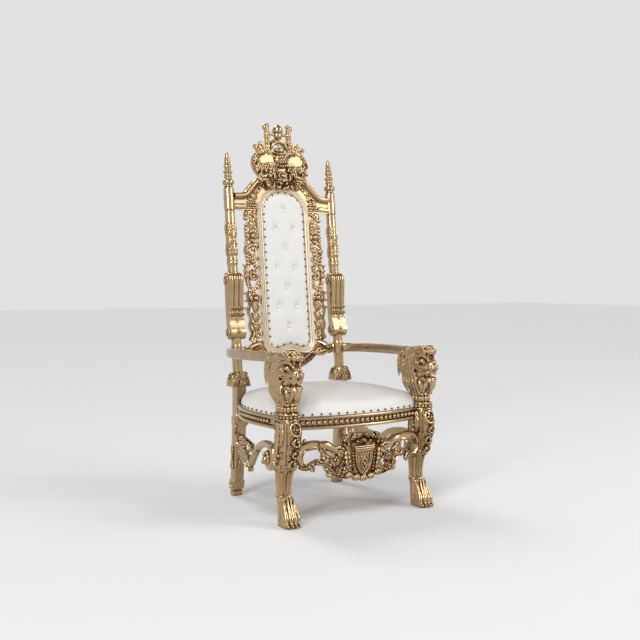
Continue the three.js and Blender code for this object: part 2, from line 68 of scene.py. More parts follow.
MM = 0.001
POST_X = 284.0
LEG_X = 345.0
RAKE = math.radians(6.1)
BACK_Y = 216.0
RAIL_TOP = 455.0
RAIL_DEEP = 55.0
SEAT_CROWN = 556.0
PANEL_HALF = 110.0
PANEL_LOW = 700.0
PANEL_SPRING = 1352.0
PANEL_TOP = 1456.0
MOULDING = 33.0
CREST_LOW = 1362.0
FRONT = np.array([0.0, -1.0, 0.0])
UPWARD = np.array([0.0, 0.0, 1.0])

Points = Sequence[Sequence[float]]
Place = Callable[[np.ndarray], np.ndarray]
Input = bpy.types.NodeSocket | float | tuple


def up(z: float) -> float:
    """Distance up the raked back for a height above the floor.

    Args:
        z: Height in millimetres.

    Returns:
        The distance along the rake.
    """
    return z / math.cos(RAKE)


def raked(p: np.ndarray) -> np.ndarray:
    """Stands flat carving in the plane of the back.

    Args:
        p: Points (n, 3) whose Z runs up the back and whose -Y is its front.

    Returns:
        The points in the throne's frame.
    """
    s, c = math.sin(RAKE), math.cos(RAKE)
    return np.stack([p[:, 0], BACK_Y + p[:, 1] * c + p[:, 2] * s, p[:, 2] * c - p[:, 1] * s], axis=1)


# --- Shells ---


@dataclass(frozen=True)
class Shell:
    """A surface in millimetres.

    Attributes:
        verts: Vertices (n, 3).
        quads: Four-cornered faces (m, 4).
        tris: Three-cornered faces (k, 3).
    """

    verts: np.ndarray
    quads: np.ndarray
    tris: np.ndarray

    def mapped(self, place: Place) -> "Shell":
        """The shell with every vertex moved by `place`.

        Args:
            place: Takes points (n, 3) and returns as many.

        Returns:
            The moved shell.
        """
        return Shell(place(self.verts), self.quads, self.tris)

    def moved(self, x: float = 0, y: float = 0, z: float = 0) -> "Shell":
        """The shell shifted by (x, y, z)."""
        return self.mapped(lambda p: p + np.array([x, y, z]))

    def mirrored(self) -> "Shell":
        """The shell on the other side of the throne's middle, its faces still outwards."""
        return Shell(self.verts * np.array([-1, 1, 1]), self.quads[:, ::-1], self.tris[:, ::-1])

    def outward(self) -> "Shell":
        """The shell with its faces turned outwards, from the sign of the volume that they enclose.

        Returns:
            The closed shell.
        """
        t = np.vstack([self.quads[:, :3], self.quads[:, [0, 2, 3]], self.tris])
        a, b, c = (self.verts[t[:, k]] for k in range(3))
        if np.einsum("ij,ij->", a, np.cross(b, c)) >= 0:
            return self
        return Shell(self.verts, self.quads[:, ::-1], self.tris[:, ::-1])


def joined(shells: Sequence[Shell]) -> Shell:
    """Several shells as one.

    Args:
        shells: The shells.

    Returns:
        One shell with all their vertices and faces.
    """
    starts = np.cumsum([0] + [len(s.verts) for s in shells[:-1]])
    return Shell(
        np.vstack([s.verts for s in shells]),
        np.vstack([s.quads + k for s, k in zip(shells, starts)]),
        np.vstack([s.tris + k for s, k in zip(shells, starts)]),
    )


def both(shells: Sequence[Shell]) -> list[Shell]:
    """Shells and their mirror images."""
    return [*shells, *(s.mirrored() for s in shells)]


def skin(rings: np.ndarray, loop: bool = False) -> Shell:
    """A surface through rings of points, its ends closed by fans to their middles.

    Args:
        rings: Points (n, k, 3); each of the n rings runs once round.
        loop: Whether the last ring joins the first.

    Returns:
        The closed shell.
    """
    n, k, _ = rings.shape
    i = np.arange(n if loop else n - 1)[:, None] * k
    nxt = (i + k) % (n * k)
    j = np.arange(k)[None, :]
    jn = (j + 1) % k
    quads = np.stack([i + j, i + jn, nxt + jn, nxt + j], axis=-1).reshape(-1, 4)
    if loop:
        return Shell(rings.reshape(-1, 3), quads, np.empty((0, 3), int)).outward()
    verts = np.vstack([rings.reshape(-1, 3), rings[0].mean(0), rings[-1].mean(0)])
    a, b = np.arange(k), (np.arange(k) + 1) % k
    start = np.stack([np.full(k, n * k), b, a], axis=1)
    end = np.stack([np.full(k, n * k + 1), (n - 1) * k + a, (n - 1) * k + b], axis=1)
    return Shell(verts, quads, np.vstack([start, end])).outward()


def spaced(line: np.ndarray, n: int, closed: bool = False) -> np.ndarray:
    """Evenly spaced points along a broken line.

    Args:
        line: Points (m, k).
        n: How many points.
        closed: Whether the line runs back to its start.

    Returns:
        Points (n, k).
    """
    if closed:
        line = np.vstack([line, line[:1]])
    reach = np.concatenate([[0], np.cumsum(np.linalg.norm(np.diff(line, axis=0), axis=1))])
    at = np.linspace(0, reach[-1], n, endpoint=not closed)
    return np.stack([np.interp(at, reach, column) for column in line.T], axis=1)


def smooth(points: Points, n: int) -> np.ndarray:
    """Evenly spaced points on a Catmull-Rom curve.

    Args:
        points: Knots as [x, z], in the plane Y = 0, or [x, y, z].
        n: How many points.

    Returns:
        Points (n, 3).
    """
    p = np.asarray(points, float)
    if p.shape[1] == 2:
        p = np.stack([p[:, 0], np.zeros(len(p)), p[:, 1]], axis=1)
    ends = np.vstack([2 * p[0] - p[1], p, 2 * p[-1] - p[-2]])
    a, b, c, d = (ends[k : k + len(p) - 1, None] for k in range(4))
    t = np.linspace(0, 1, 12, endpoint=False)[None, :, None]
    fine = 0.5 * (2 * b + (c - a) * t + (2 * a - 5 * b + 4 * c - d) * t**2 + (3 * b - a - 3 * c + d) * t**3)
    return spaced(np.vstack([fine.reshape(-1, 3), p[-1]]), n)


def sweep(
    path: np.ndarray, u: np.ndarray, v: np.ndarray, out: np.ndarray = FRONT, loop: bool = False
) -> Shell:
    """A section carried along a path: each ring is path + across * u + out * v.

    Args:
        path: Points (n, 3).
        u: Reach across the path, (n, k) or (k,).
        v: Height along `out`, (n, k) or (k,).
        out: The direction that the carving faces.
        loop: Whether the path closes on itself.

    Returns:
        The closed shell.
    """
    run = (np.roll(path, -1, 0) - np.roll(path, 1, 0)) if loop else np.gradient(path, axis=0)
    across = np.cross(run, out)
    across /= np.linalg.norm(across, axis=1, keepdims=True) + 1e-9
    u, v = (np.broadcast_to(w, (len(path), np.shape(w)[-1])) for w in (u, v))
    return skin(path[:, None] + across[:, None] * u[..., None] + out * v[..., None], loop)


def turned(
    profile: Points, sides: int = 32, flutes: int = 0,
    depth: Callable[[np.ndarray], np.ndarray] | None = None,
) -> Shell:
    """A profile turned round the Z axis: radius r(z) * (1 - depth(z) * |sin(flutes * angle / 2)|).

    Args:
        profile: [height, radius] pairs, from one end to the other.
        sides: Points round the axis.
        flutes: How many flutes run up it.
        depth: How deep they are at each height, as a share of the radius.

    Returns:
        The closed shell.
    """
    z, r = np.asarray(profile, float).T
    a = np.linspace(0, 2 * np.pi, sides, endpoint=False)
    cut = 0 if depth is None else depth(z)[:, None] * np.abs(np.sin(flutes * a / 2))[None, :]
    reach = r[:, None] * (1 - cut)
    return skin(np.stack([reach * np.cos(a), reach * np.sin(a), np.repeat(z[:, None], sides, 1)], axis=-1))


def rounded(profile: Points, step: float = 2.5) -> list[list[float]]:
    """A turned profile resampled every few millimetres with its corners eased.

    Args:
        profile: [height, radius] pairs.
        step: Spacing in millimetres.

    Returns:
        Finer [height, radius] pairs.
    """
    p = np.asarray(profile, float)
    length = np.sum(np.linalg.norm(np.diff(p, axis=0), axis=1))
    fine = spaced(p, int(length / step) + 2)
    fine[1:-1] = 0.25 * fine[:-2] + 0.5 * fine[1:-1] + 0.25 * fine[2:]
    return fine.tolist()


def squarish(v: np.ndarray, power: float) -> np.ndarray:
    """A cosine or sine raised to a power with its sign kept, which makes an oval squarer below one."""
    return np.sign(v) * np.abs(v) ** power


def rod(r: float) -> tuple[np.ndarray, np.ndarray]:
    """A round section of radius r for `sweep`."""
    a = np.linspace(0, 2 * np.pi, 12, endpoint=False)
    return r * np.cos(a), r * np.sin(a)


def ellipse(x: float, z: float, rx: float, rz: float, y: float, n: int = 40) -> np.ndarray:
    """Points once round an ellipse in the plane at y."""
    a = np.linspace(0, 2 * np.pi, n, endpoint=False)
    return np.stack([x + rx * np.cos(a), np.full(n, float(y)), z + rz * np.sin(a)], axis=1)


def round_axis(turn: float, out: float) -> Place:
    """A place for flat carving round the Z axis.

    Args:
        turn: Angle from the front, in degrees.
        out: How far from the axis its plane stands.

    Returns:
        The place, for `Shell.mapped`.
    """
    c, s = math.cos(math.radians(turn)), math.sin(math.radians(turn))

    def place(p: np.ndarray) -> np.ndarray:
        """Moves the carving out from the axis and turns it."""
        x, y = p[:, 0], p[:, 1] - out
        return np.stack([x * c - y * s, x * s + y * c, p[:, 2]], axis=1)

    return place


def egg(
    x: float, y: float, z: float, rx: float, ry: float, rz: float, n: int = 20, turn: float = 0.0
) -> Shell:
    """An ellipsoid: the unit sphere over longitude and latitude, scaled, turned about Y and moved.

    Args:
        x, y, z: Its middle.
        rx, ry, rz: Its half sizes.
        n: Points round it.
        turn: Turn about Y, in degrees, anticlockwise as seen from the front.

    Returns:
        The shell.
    """
    a = np.linspace(0, 2 * np.pi, n, endpoint=False)[None, :]
    b = np.linspace(-np.pi / 2, np.pi / 2, n // 2 + 1)[1:-1, None]
    p = np.stack([rx * np.cos(b) * np.cos(a), ry * np.sin(b) + 0 * a, rz * np.cos(b) * np.sin(a)], axis=-1)
    c, s = math.cos(math.radians(turn)), math.sin(math.radians(turn))
    p = np.stack([p[..., 0] * c - p[..., 2] * s, p[..., 1], p[..., 0] * s + p[..., 2] * c], axis=-1)
    return skin(p + np.array([x, y, z]))


# --- Carved ornament, flat in the XZ plane and facing -Y ---


class Section(Enum):
    """Cross-sections of carved straps, as height over a half width of one."""

    ROUND = "half round"
    CHANNEL = "a hollow between two rims"
    RIDGE = "two rims and a middle ridge"

    def curve(self) -> tuple[np.ndarray, np.ndarray]:
        """The section's points.

        Returns:
            Across and height, both as shares.
        """
        u = np.linspace(-1, 1, 11)
        dome = np.sqrt(np.clip(1 - u**2, 0, 1))
        if self is Section.ROUND:
            return u, dome
        rims = np.exp(-(((np.abs(u) - 0.78) / 0.2) ** 2))
        if self is Section.CHANNEL:
            return u, 0.35 * dome + 0.62 * rims
        return u, 0.3 * dome + 0.5 * rims + 0.6 * np.exp(-((u / 0.3) ** 2))


def ease_ends(n: int, share: float) -> np.ndarray:
    """A factor for widths that rounds both ends of a path off.

    Args:
        n: Points along the path.
        share: How much of each half is rounded.

    Returns:
        The factor (n,).
    """
    t = np.abs(np.linspace(-1, 1, n))
    over = np.clip((t - (1 - share)) / share, 0, 0.995)
    return np.sqrt(1 - over**2)


def strap(path: np.ndarray, widths: Sequence[float], high: float, base: float, section: Section) -> Shell:
    """A carved strap: the section carried along the path, as wide as `widths` says, with rounded ends.

    Args:
        path: Points (n, 3).
        widths: Half widths, evenly spread along the path.
        high: How far the widest place stands in front of the path.
        base: How far its back lies behind it.
        section: Its cross-section.

    Returns:
        The closed shell.
    """
    n = len(path)
    w = np.interp(np.linspace(0, 1, n), np.linspace(0, 1, len(widths)), widths) * ease_ends(n, 0.12)
    u, h = section.curve()
    u = np.concatenate([u, [0.9, -0.9]])
    top = high * np.sqrt(w / w.max())[:, None] * h
    v = np.concatenate([top, np.full((n, 2), -base)], axis=1)
    return sweep(path, w[:, None] * u, v)


def scroll(points: Points, widths: Sequence[float], high: float = 10, base: float = 8,
           section: Section = Section.CHANNEL, n: int = 34) -> Shell:
    """A strap through a few knots; see `strap`."""
    return strap(smooth(points, n), widths, high, base, section)


def spiral(x: float, z: float, r0: float, r1: float, a0: float, turn: float, n: int = 9) -> np.ndarray:
    """Knots of a spiral.

    Args:
        x, z: Its middle.
        r0, r1: Its first and last radius.
        a0, turn: The first angle and how far it turns, in degrees.
        n: How many knots.

    Returns:
        Points (n, 3).
    """
    t = np.linspace(0, 1, n)
    a = np.radians(a0 + turn * t)
    r = r0 + (r1 - r0) * t
    return np.stack([x + r * np.cos(a), np.zeros(n), z + r * np.sin(a)], axis=1)


def curl(x: float, z: float, r0: float, r1: float, a0: float, turn: float,
         widths: Sequence[float], high: float = 10,
         base: float = 8, section: Section = Section.CHANNEL, eye: float = 0.0) -> list[Shell]:
    """A C-scroll that closes in round (x, z), with a round eye at its end.

    Args:
        x, z: The middle of the spiral.
        r0, r1: Its first and last radius.
        a0, turn: The first angle and how far it turns, in degrees.
        widths: Half widths along it.
        high, base, section: As for `strap`.
        eye: Radius of the eye, or 0 for none.

    Returns:
        The strap and the eye.
    """
    knots = spiral(x, z, r0, r1, a0, turn, 9)
    made = [strap(smooth(knots, 40), widths, high, base, section)]
    if eye:
        ex, _, ez = knots[-1]
        deep = min(0.8 * high, eye + 2)
        made.append(egg(ex, 0.6 * deep - 0.95 * high, ez, eye, deep, eye, 14))
    return made


def leaf(x: float, z: float, long: float, angle: float, wide: float,
         bend: float = 0, lobes: int = 4, high: float = 11,
         base: float = 6, lift: float = 6) -> Shell:
    """An acanthus leaf over a grid: s goes from -1 to 1 across it and t from 0 to 1 along it.

    The half width swells and is notched between lobes, a vein sinks along the middle, ribs fan out to
    the lobes, and the tip curls forwards.

    Args:
        x, z: Its foot.
        long: Length to the tip.
        angle: Which way it points, in degrees.
        wide: Half width.
        bend: How far its middle is pushed to its left.
        lobes: Lobes on each side.
        high: Height of the leaf over its plane.
        base: Depth behind the plane.
        lift: How far the tip curls forwards.

    Returns:
        The closed shell.
    """
    a = math.radians(angle)
    tip = (x + long * math.cos(a), z + long * math.sin(a))
    mid = (0.5 * (x + tip[0]) - bend * math.sin(a), 0.5 * (z + tip[1]) + bend * math.cos(a))
    n = 8 * lobes + 5
    t = np.linspace(0, 1, n)[:, None]
    s = np.linspace(-1, 1, 11)[None, :]
    path = smooth([(x, z), mid, tip], n)
    path[:, 1] -= lift * t[:, 0] ** 2
    swell = np.sin(np.pi * np.clip(0.12 + 0.88 * t, 0, 0.985) ** 0.8) ** 0.65
    scallop = np.abs(np.sin(np.pi * lobes * t)) ** 0.6
    half = wide * swell * (1 - 0.36 * (1 - scallop) * s**2)
    dome = 0.35 + 0.65 * np.sqrt(np.clip(1 - (0.96 * s) ** 2, 0, 1))
    ribs = 0.2 * np.abs(s) * (2 * np.abs(np.sin(np.pi * (lobes * t - 0.18 * (1 - np.abs(s))))) - 1)
    vein = 0.4 * np.exp(-((s / 0.13) ** 2))
    v = high * (dome + ribs - vein) * (0.45 + 0.55 * swell)
    u = np.concatenate([half * s, 0.85 * half[:, -1:], -0.85 * half[:, :1]], axis=1)
    v = np.concatenate([v, np.full((n, 2), -base)], axis=1)
    return sweep(path, u, v)


def rosette(
    x: float, z: float, r: float, petals: int = 6, high: float = 9, base: float = 8, y: float = 0.0
) -> Shell:
    """A flower over polar coordinates: petals as cosine lobes that dip towards their edges, with a round eye.

    Args:
        x, z: Its middle.
        r: Its radius.
        petals: How many petals.
        high: Height of the petals.
        base: Depth behind its plane.
        y: Where the plane stands.

    Returns:
        The closed shell.
    """
    share = np.array([0.9, 1.0, 0.97, 0.86, 0.7, 0.54, 0.42, 0.36, 0.3, 0.2, 0.1])[:, None]
    rise = np.array([-base / high, 0.1, 0.5, 0.85, 1.0, 0.8, 0.45, 0.75, 1.15, 1.35, 1.42])[:, None]
    a = np.linspace(0, 2 * np.pi, 8 * petals, endpoint=False)[None, :]
    lobe = np.abs(np.cos(petals * a / 2)) ** 0.7
    outer = np.clip((share - 0.36) / 0.6, 0, 1)
    reach = r * share * (1 - 0.24 * outer * (1 - lobe))
    h = high * (rise - 0.45 * outer * (1 - lobe) * (rise > 0))
    return skin(np.stack([x + reach * np.cos(a), y - h, z + reach * np.sin(a)], axis=-1))


def fan(
    x: float, z: float, r: float, a0: float, a1: float, ribs: int, high: float = 10, base: float = 8
) -> Shell:
    """A scallop shell: ribs spread from (x, z) between two angles, each a round lobe at the rim.

    Args:
        x, z: Its hinge.
        r: Radius to the rim.
        a0, a1: The angles of its sides, in degrees.
        ribs: How many ribs.
        high, base: Height before and depth behind its plane.

    Returns:
        The closed shell.
    """
    a = np.radians(np.linspace(a0, a1, 8 * ribs + 1))[None, :]
    wave = np.abs(np.sin(ribs * np.pi * (a - a.min()) / np.ptp(a)))
    share = np.array([0.05, 0.25, 0.5, 0.72, 0.88, 0.97, 1.0])[:, None]
    top_r = r * share * (1 - 0.16 * share**3 * (1 - wave))
    dome = np.sin(np.pi * np.clip(0.12 + 0.88 * share, 0, 1)) ** 0.5
    top_y = -high * (dome * (0.45 + 0.55 * wave) + 0.1)
    top = np.stack([x + top_r * np.cos(a), top_y, z + top_r * np.sin(a)], axis=-1)
    back = top.copy()
    back[..., 1] = base
    return skin(np.concatenate([top, back[:, ::-1]], axis=1))


def drop(x: float, z: float, rx: float, rz: float, deep: float, y: float = 0.0, turn: float = 0.0) -> Shell:
    """A pebble of carving: an egg half sunk in the ground."""
    return egg(x, y, z, rx, deep, rz, 16, turn)


def slab(outline: Points, front: float, thick: float, ease: float = 2.0) -> Shell:
    """A board with eased edges, standing in the XZ plane: the outline drawn in a little at its faces.

    Args:
        outline: [x, z] points once round.
        front: Y of the front face.
        thick: Thickness.
        ease: Radius of the edges.

    Returns:
        The closed shell.
    """
    p = np.asarray(outline, float)
    run = np.roll(p, -1, 0) - np.roll(p, 1, 0)
    normal = np.stack([run[:, 1], -run[:, 0]], axis=1) / (np.linalg.norm(run, axis=1, keepdims=True) + 1e-9)
    area = 0.5 * np.sum(p[:, 0] * np.roll(p[:, 1], -1) - p[:, 1] * np.roll(p[:, 0], -1))
    normal *= np.sign(area)
    rows = [
        (front, ease), (front + 0.4 * ease, 0.3 * ease), (front + ease, 0), (front + thick - ease, 0),
        (front + thick, ease),
    ]
    rings = np.stack([np.insert(p - normal * inset, 1, y, axis=1) for y, inset in rows])
    return skin(rings)


def board(low: Points, high: Points, front: float, thick: float, ease: float = 2.0, n: int = 72) -> Shell:
    """A board between a lower and an upper curve: each column is a ring, with eased front edges.

    Args:
        low, high: Knots [x, z] of the curves, from left to right.
        front: Y of the front face.
        thick: Thickness.
        ease: Radius of the front edges.
        n: Columns.

    Returns:
        The closed shell.
    """
    x = np.linspace(max(low[0][0], high[0][0]), min(low[-1][0], high[-1][0]), n)
    foot, head = (smooth(k, 160) for k in (low, high))
    lo, hi = np.interp(x, foot[:, 0], foot[:, 2]), np.interp(x, head[:, 0], head[:, 2])
    hi = np.maximum(hi, lo + 0.2)
    e = np.minimum(ease, 0.45 * (hi - lo))
    face, back = np.full(n, float(front)), np.full(n, float(front + thick))
    y = [face + e, face + 0.3 * e, face, face, face + 0.3 * e, face + e, back, back]
    z = [lo, lo + 0.3 * e, lo + e, hi - e, hi - 0.3 * e, hi, hi, lo]
    return skin(np.stack([np.repeat(x[:, None], 8, 1), np.stack(y, axis=1), np.stack(z, axis=1)], axis=-1))


def tube(path: np.ndarray, radii: Sequence[float], out: np.ndarray = FRONT, sides: int = 14) -> Shell:
    """A round rod whose radius changes along its path.

    Args:
        path: Points (n, 3).
        radii: Radii, evenly spread along it.
        out: A direction square to the path.
        sides: Points round it.

    Returns:
        The closed shell.
    """
    n = len(path)
    r = np.interp(np.linspace(0, 1, n), np.linspace(0, 1, len(radii)), radii) * ease_ends(n, 0.08)
    a = np.linspace(0, 2 * np.pi, sides, endpoint=False)
    return sweep(path, r[:, None] * np.cos(a), r[:, None] * np.sin(a), out)


def half_round(half: float, low: float, high: float, n: int = 24) -> list[list[float]]:
    """Outline of a half-round on a straight foot."""
    a = np.linspace(0, np.pi, n)
    return np.stack([half * np.cos(a), low + high * np.sin(a)], axis=1).tolist()


# --- Finishes ---


class Nodes:
    """A material's node tree, built node by node with plain values on its sockets."""

    def __init__(self, name: str) -> None:
        """Starts a material with a Principled shader.

        Args:
            name: The material's name.
        """
        self.material = bpy.data.materials.new(name)
        self.material.use_nodes = True
        self.tree = self.material.node_tree
        self.shader = self.tree.nodes["Principled BSDF"]

    def add(self, kind: str, values: dict | None = None, **settings) -> bpy.types.Node:
        """Adds a node.

        Args:
            kind: Its type, such as ShaderNodeTexNoise.
            values: Socket name or number to a value, or to an output socket that it is linked from.
            **settings: Properties of the node.

        Returns:
            The node.
        """
        node = self.tree.nodes.new(kind)
        for key, value in settings.items():
            setattr(node, key, value)
        self.set(node, values or {})
        return node

    def set(self, node: bpy.types.Node, values: dict) -> None:
        """Sets or links several inputs of a node.

        Args:
            node: The node.
            values: As for `add`.
        """
        for key, value in values.items():
            if isinstance(value, bpy.types.NodeSocket):
                self.tree.links.new(value, node.inputs[key])
            else:
                node.inputs[key].default_value = value

    def noise(self, scale: float, detail: float = 4.0, rough: float = 0.55) -> bpy.types.NodeSocket:
        """Noise over object coordinates.

        Args:
            scale: Cells to the metre.
            detail: How many finer layers it has.
            rough: How strong they are.

        Returns:
            The noise, about 0.3 to 0.7.
        """
        coords = self.add("ShaderNodeTexCoord").outputs["Object"]
        node = self.add(
            "ShaderNodeTexNoise", {"Vector": coords, "Scale": scale, "Detail": detail, "Roughness": rough}
        )
        return node.outputs["Fac"]

    def ramp(
        self, fac: Input, low: float, high: float, out_low: float = 0.0, out_high: float = 1.0
    ) -> bpy.types.NodeSocket:
        """Brings a value from one range to another.

        Args:
            fac: The value.
            low, high: The range that it has.
            out_low, out_high: The range that it gets.

        Returns:
            The new value.
        """
        names = ("From Min", "From Max", "To Min", "To Max")
        node = self.add(
            "ShaderNodeMapRange", {"Value": fac, **dict(zip(names, (low, high, out_low, out_high)))}
        )
        return node.outputs["Result"]

    def mix(self, fac: Input, a: Input, b: Input) -> bpy.types.NodeSocket:
        """Mixes two colours.

        Args:
            fac: 0 for a and 1 for b.
            a, b: The colours.

        Returns:
            The mixed colour.
        """
        node = self.add("ShaderNodeMix", {"Factor": fac}, data_type="RGBA")
        self.set(node, {6: a, 7: b})
        return node.outputs[2]

    def math(self, kind: str, a: Input, b: Input) -> bpy.types.NodeSocket:
        """Arithmetic on two values."""
        return self.add("ShaderNodeMath", {0: a, 1: b}, operation=kind).outputs[0]

    def bump(self, height: bpy.types.NodeSocket, strength: float, distance: float) -> None:
        """Bump from a height, added to the shader's normal."""
        node = self.add("ShaderNodeBump", {"Height": height, "Strength": strength, "Distance": distance})
        self.set(self.shader, {"Normal": node.outputs["Normal"]})


@dataclass(frozen=True)
class Gilding:
    """Gold paint with painted shade: a dark colour in the hollows that an ambient occlusion node finds, and a
    lighter colour on open places that is partly rubbed wear and partly painted highlight.

    Attributes:
        name: The material's name.
        high: Colour of the open places: rubbed wear where the noise patches fall, and a painted highlight
            where the ambient occlusion finds no hollow.
        gold: The gold itself.
        painted_shade: The painted shade in the hollows that the ambient occlusion finds.
        rough: Roughness of the gold.
        metal: How metallic the gold is.
        reach: How far from a surface the hollows count, in metres.
    """

    name: str
    high: tuple = (0.50, 0.35, 0.18, 1)
    gold: tuple = (0.38, 0.245, 0.11, 1)
    painted_shade: tuple = (0.055, 0.027, 0.010, 1)
    rough: float = 0.22
    metal: float = 0.95
    reach: float = 0.012

    def material(self) -> bpy.types.Material:
        """Builds the material.

        Returns:
            The material.
        """
        n = Nodes(self.name)
        # Painted shade: hollows that the ambient occlusion node finds get the dark shade colour and less
        # metal.
        hollow = n.add("ShaderNodeAmbientOcclusion", {"Distance": self.reach}, samples=6).outputs["AO"]
        patches = n.noise(22, 4)
        grain = n.noise(260, 3)
        open_ = n.ramp(n.math("ADD", hollow, n.ramp(patches, 0.3, 0.7, -0.05, 0.05)), 0.12, 0.72)
        # Rubbed wear and painted highlight: open places turn to the high colour in noise patches.
        wear_and_highlight = n.math("MULTIPLY", n.ramp(patches, 0.3, 0.7, 0.35, 1.0), n.ramp(hollow, 0.7, 1.0))
        colour = n.mix(open_, self.painted_shade, n.mix(wear_and_highlight, self.gold, self.high))
        n.set(n.shader, {
            "Base Color": colour,
            "Metallic": n.ramp(open_, 0, 1, 0.4, self.metal),
            "Roughness": n.ramp(n.noise(60, 4), 0.3, 0.7, self.rough - 0.05, self.rough + 0.08),
            "Coat Weight": 0.7,
            "Coat Roughness": 0.1,
        })
        n.bump(grain, 0.04, 0.0003)
        return n.material


@dataclass(frozen=True)
class Hide:
    """Matt white artificial leather with a fine grain, darkened to a painted shade in its folds and dimples.

    Attributes:
        name: The material's name.
        colour: Its colour in the open.
        shade: The painted shade in its folds and dimples.
    """

    name: str = "white hide"
    colour: tuple = (0.665, 0.652, 0.618, 1)
    shade: tuple = (0.55, 0.52, 0.47, 1)

    def material(self) -> bpy.types.Material:
        """Builds the material.

        Returns:
            The material.
        """
        n = Nodes(self.name)
        coords = n.add("ShaderNodeTexCoord").outputs["Object"]
        cells = n.add(
            "ShaderNodeTexVoronoi", {"Vector": coords, "Scale": 650.0}, feature="DISTANCE_TO_EDGE"
        )
        # Painted shade: the ambient occlusion node darkens the folds and dimples towards the shade colour.
        hollow = n.add("ShaderNodeAmbientOcclusion", {"Distance": 0.02}, samples=6).outputs["AO"]
        tone = n.mix(
            n.ramp(n.noise(9, 3), 0.3, 0.7), self.colour, tuple(c * 0.965 for c in self.colour[:3]) + (1,)
        )
        shaded = n.mix(n.ramp(hollow, 0.3, 0.9), self.shade, tone)
        n.set(n.shader, {"Base Color": shaded, "Roughness": n.ramp(n.noise(60, 3), 0.3, 0.7, 0.42, 0.55)})
        n.bump(n.ramp(cells.outputs["Distance"], 0.0, 0.12), 0.25, 0.0004)
        return n.material


@dataclass(frozen=True)
class Plain:
    """A small bright fitting: nail heads or crystals.

    Attributes:
        name: The material's name.
        colour: Its colour.
        metallic: How metallic it is.
        rough: Its lowest roughness.
    """

    name: str
    colour: tuple
    metallic: float
    rough: float

    def material(self) -> bpy.types.Material:
        """Builds the material.

        Returns:
            The material.
        """
        n = Nodes(self.name)
        tint = n.mix(
            n.noise(300, 2), self.colour, tuple(min(1.0, c * 1.35) for c in self.colour[:3]) + (1,)
        )
        n.set(
            n.shader,
            {
                "Base Color": tint,
                "Metallic": self.metallic,
                "Roughness": n.ramp(n.noise(200, 3), 0.3, 0.7, self.rough, self.rough * 1.5),
            },
        )
        return n.material


class Finishes:
    """The throne's materials, made once."""

    def __init__(self) -> None:
        """Builds every material."""
        self.gilt = Gilding("antique gold").material()
        satin = Gilding("satin gold", high=(0.46, 0.34, 0.20, 1), gold=(0.32, 0.21, 0.11, 1), rough=0.3)
        # A paler, less metallic copy of the gold for the moulding: its lighter colour is a painted highlight
        # for the light that the moulding's smooth faces catch.
        pale = Gilding(
            "pale gold",
            high=(0.86, 0.76, 0.60, 1),
            gold=(0.74, 0.61, 0.43, 1),
            painted_shade=(0.16, 0.09, 0.04, 1),
            rough=0.34,
            metal=0.55,
            reach=0.006,
        )
        self.satin = satin.material()
        self.pale = pale.material()
        self.hide = Hide().material()
        self.nail = Plain("nail steel", (0.035, 0.045, 0.075, 1), 0.85, 0.28).material()
        self.crystal = Plain("crystal", (0.62, 0.66, 0.70, 1), 0.55, 0.08).material()


# --- Making objects ---


@dataclass
class Workshop:
    """Turns shells into objects that ride on the throne.

    Attributes:
        finishes: The materials.
    """

    finishes: Finishes

    @staticmethod
    def mesh(name: str, shells: Sequence[Shell]) -> bpy.types.Mesh:
        """Makes a mesh in metres from shells in millimetres.

        Args:
            name: Its name.
            shells: The shells.

        Returns:
            The mesh.
        """
        shell = joined([s.outward() for s in shells])
        mesh = bpy.data.meshes.new(name)
        mesh.from_pydata((shell.verts * MM).tolist(), [], shell.quads.tolist() + shell.tris.tolist())
        return mesh

    def make(self, name: str, shells: Sequence[Shell], material: bpy.types.Material,
             replaces: Sequence[str] = (), fused: float = 0.0,
             crisp: Sequence[Shell] = ()) -> bpy.types.Object:
        """Makes one object.

        Args:
            name: Its name.
            shells: What it is made of, in millimetres.
            material: Its finish.
            replaces: The CAD nodes that it stands for.
            fused: Voxel size in metres that melts the shells together, or 0 to leave them as they are.
            crisp: Shells that are added after that, with their edges kept.

        Returns:
            The object.
        """
        obj = bpy.data.objects.new(name, self.mesh(name, shells))
        bpy.context.scene.collection.objects.link(obj)
        if fused:
            melt = obj.modifiers.new("melt", "REMESH")
            melt.mode = "VOXEL"
            melt.voxel_size = fused
            graph = bpy.context.evaluated_depsgraph_get()
            whole = bmesh.new()
            whole.from_mesh(bpy.data.meshes.new_from_object(obj.evaluated_get(graph)))
            whole.from_mesh(self.mesh(name, crisp))
            obj.modifiers.clear()
            whole.to_mesh(obj.data)
            whole.free()
        obj.data.polygons.foreach_set("use_smooth", np.ones(len(obj.data.polygons), bool))
        obj.data.set_sharp_from_angle(angle=math.radians(48))
        obj.data.materials.clear()
        obj.data.materials.append(material)
        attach(obj, "root")
        if replaces:
            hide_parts(*replaces)
        log.info("%s: %d faces", name, len(obj.data.polygons))
        return obj

    def pair(self, name: str, right: Sequence[Shell], material: bpy.types.Material, node: str) -> None:
        """Makes a piece on the right and its mirror image on the left.

        Args:
            name: Their name, before the side.
            right: The right-hand piece, in millimetres.
            material: Their finish.
            node: The name of the CAD nodes that they stand for, before the side.
        """
        left = [s.mirrored() for s in right]
        for side, shells in (("right", right), ("left", left)):
            self.make(f"{name}_{side}", shells, material, replaces=[f"{node}_{side}"])


# --- Back ---


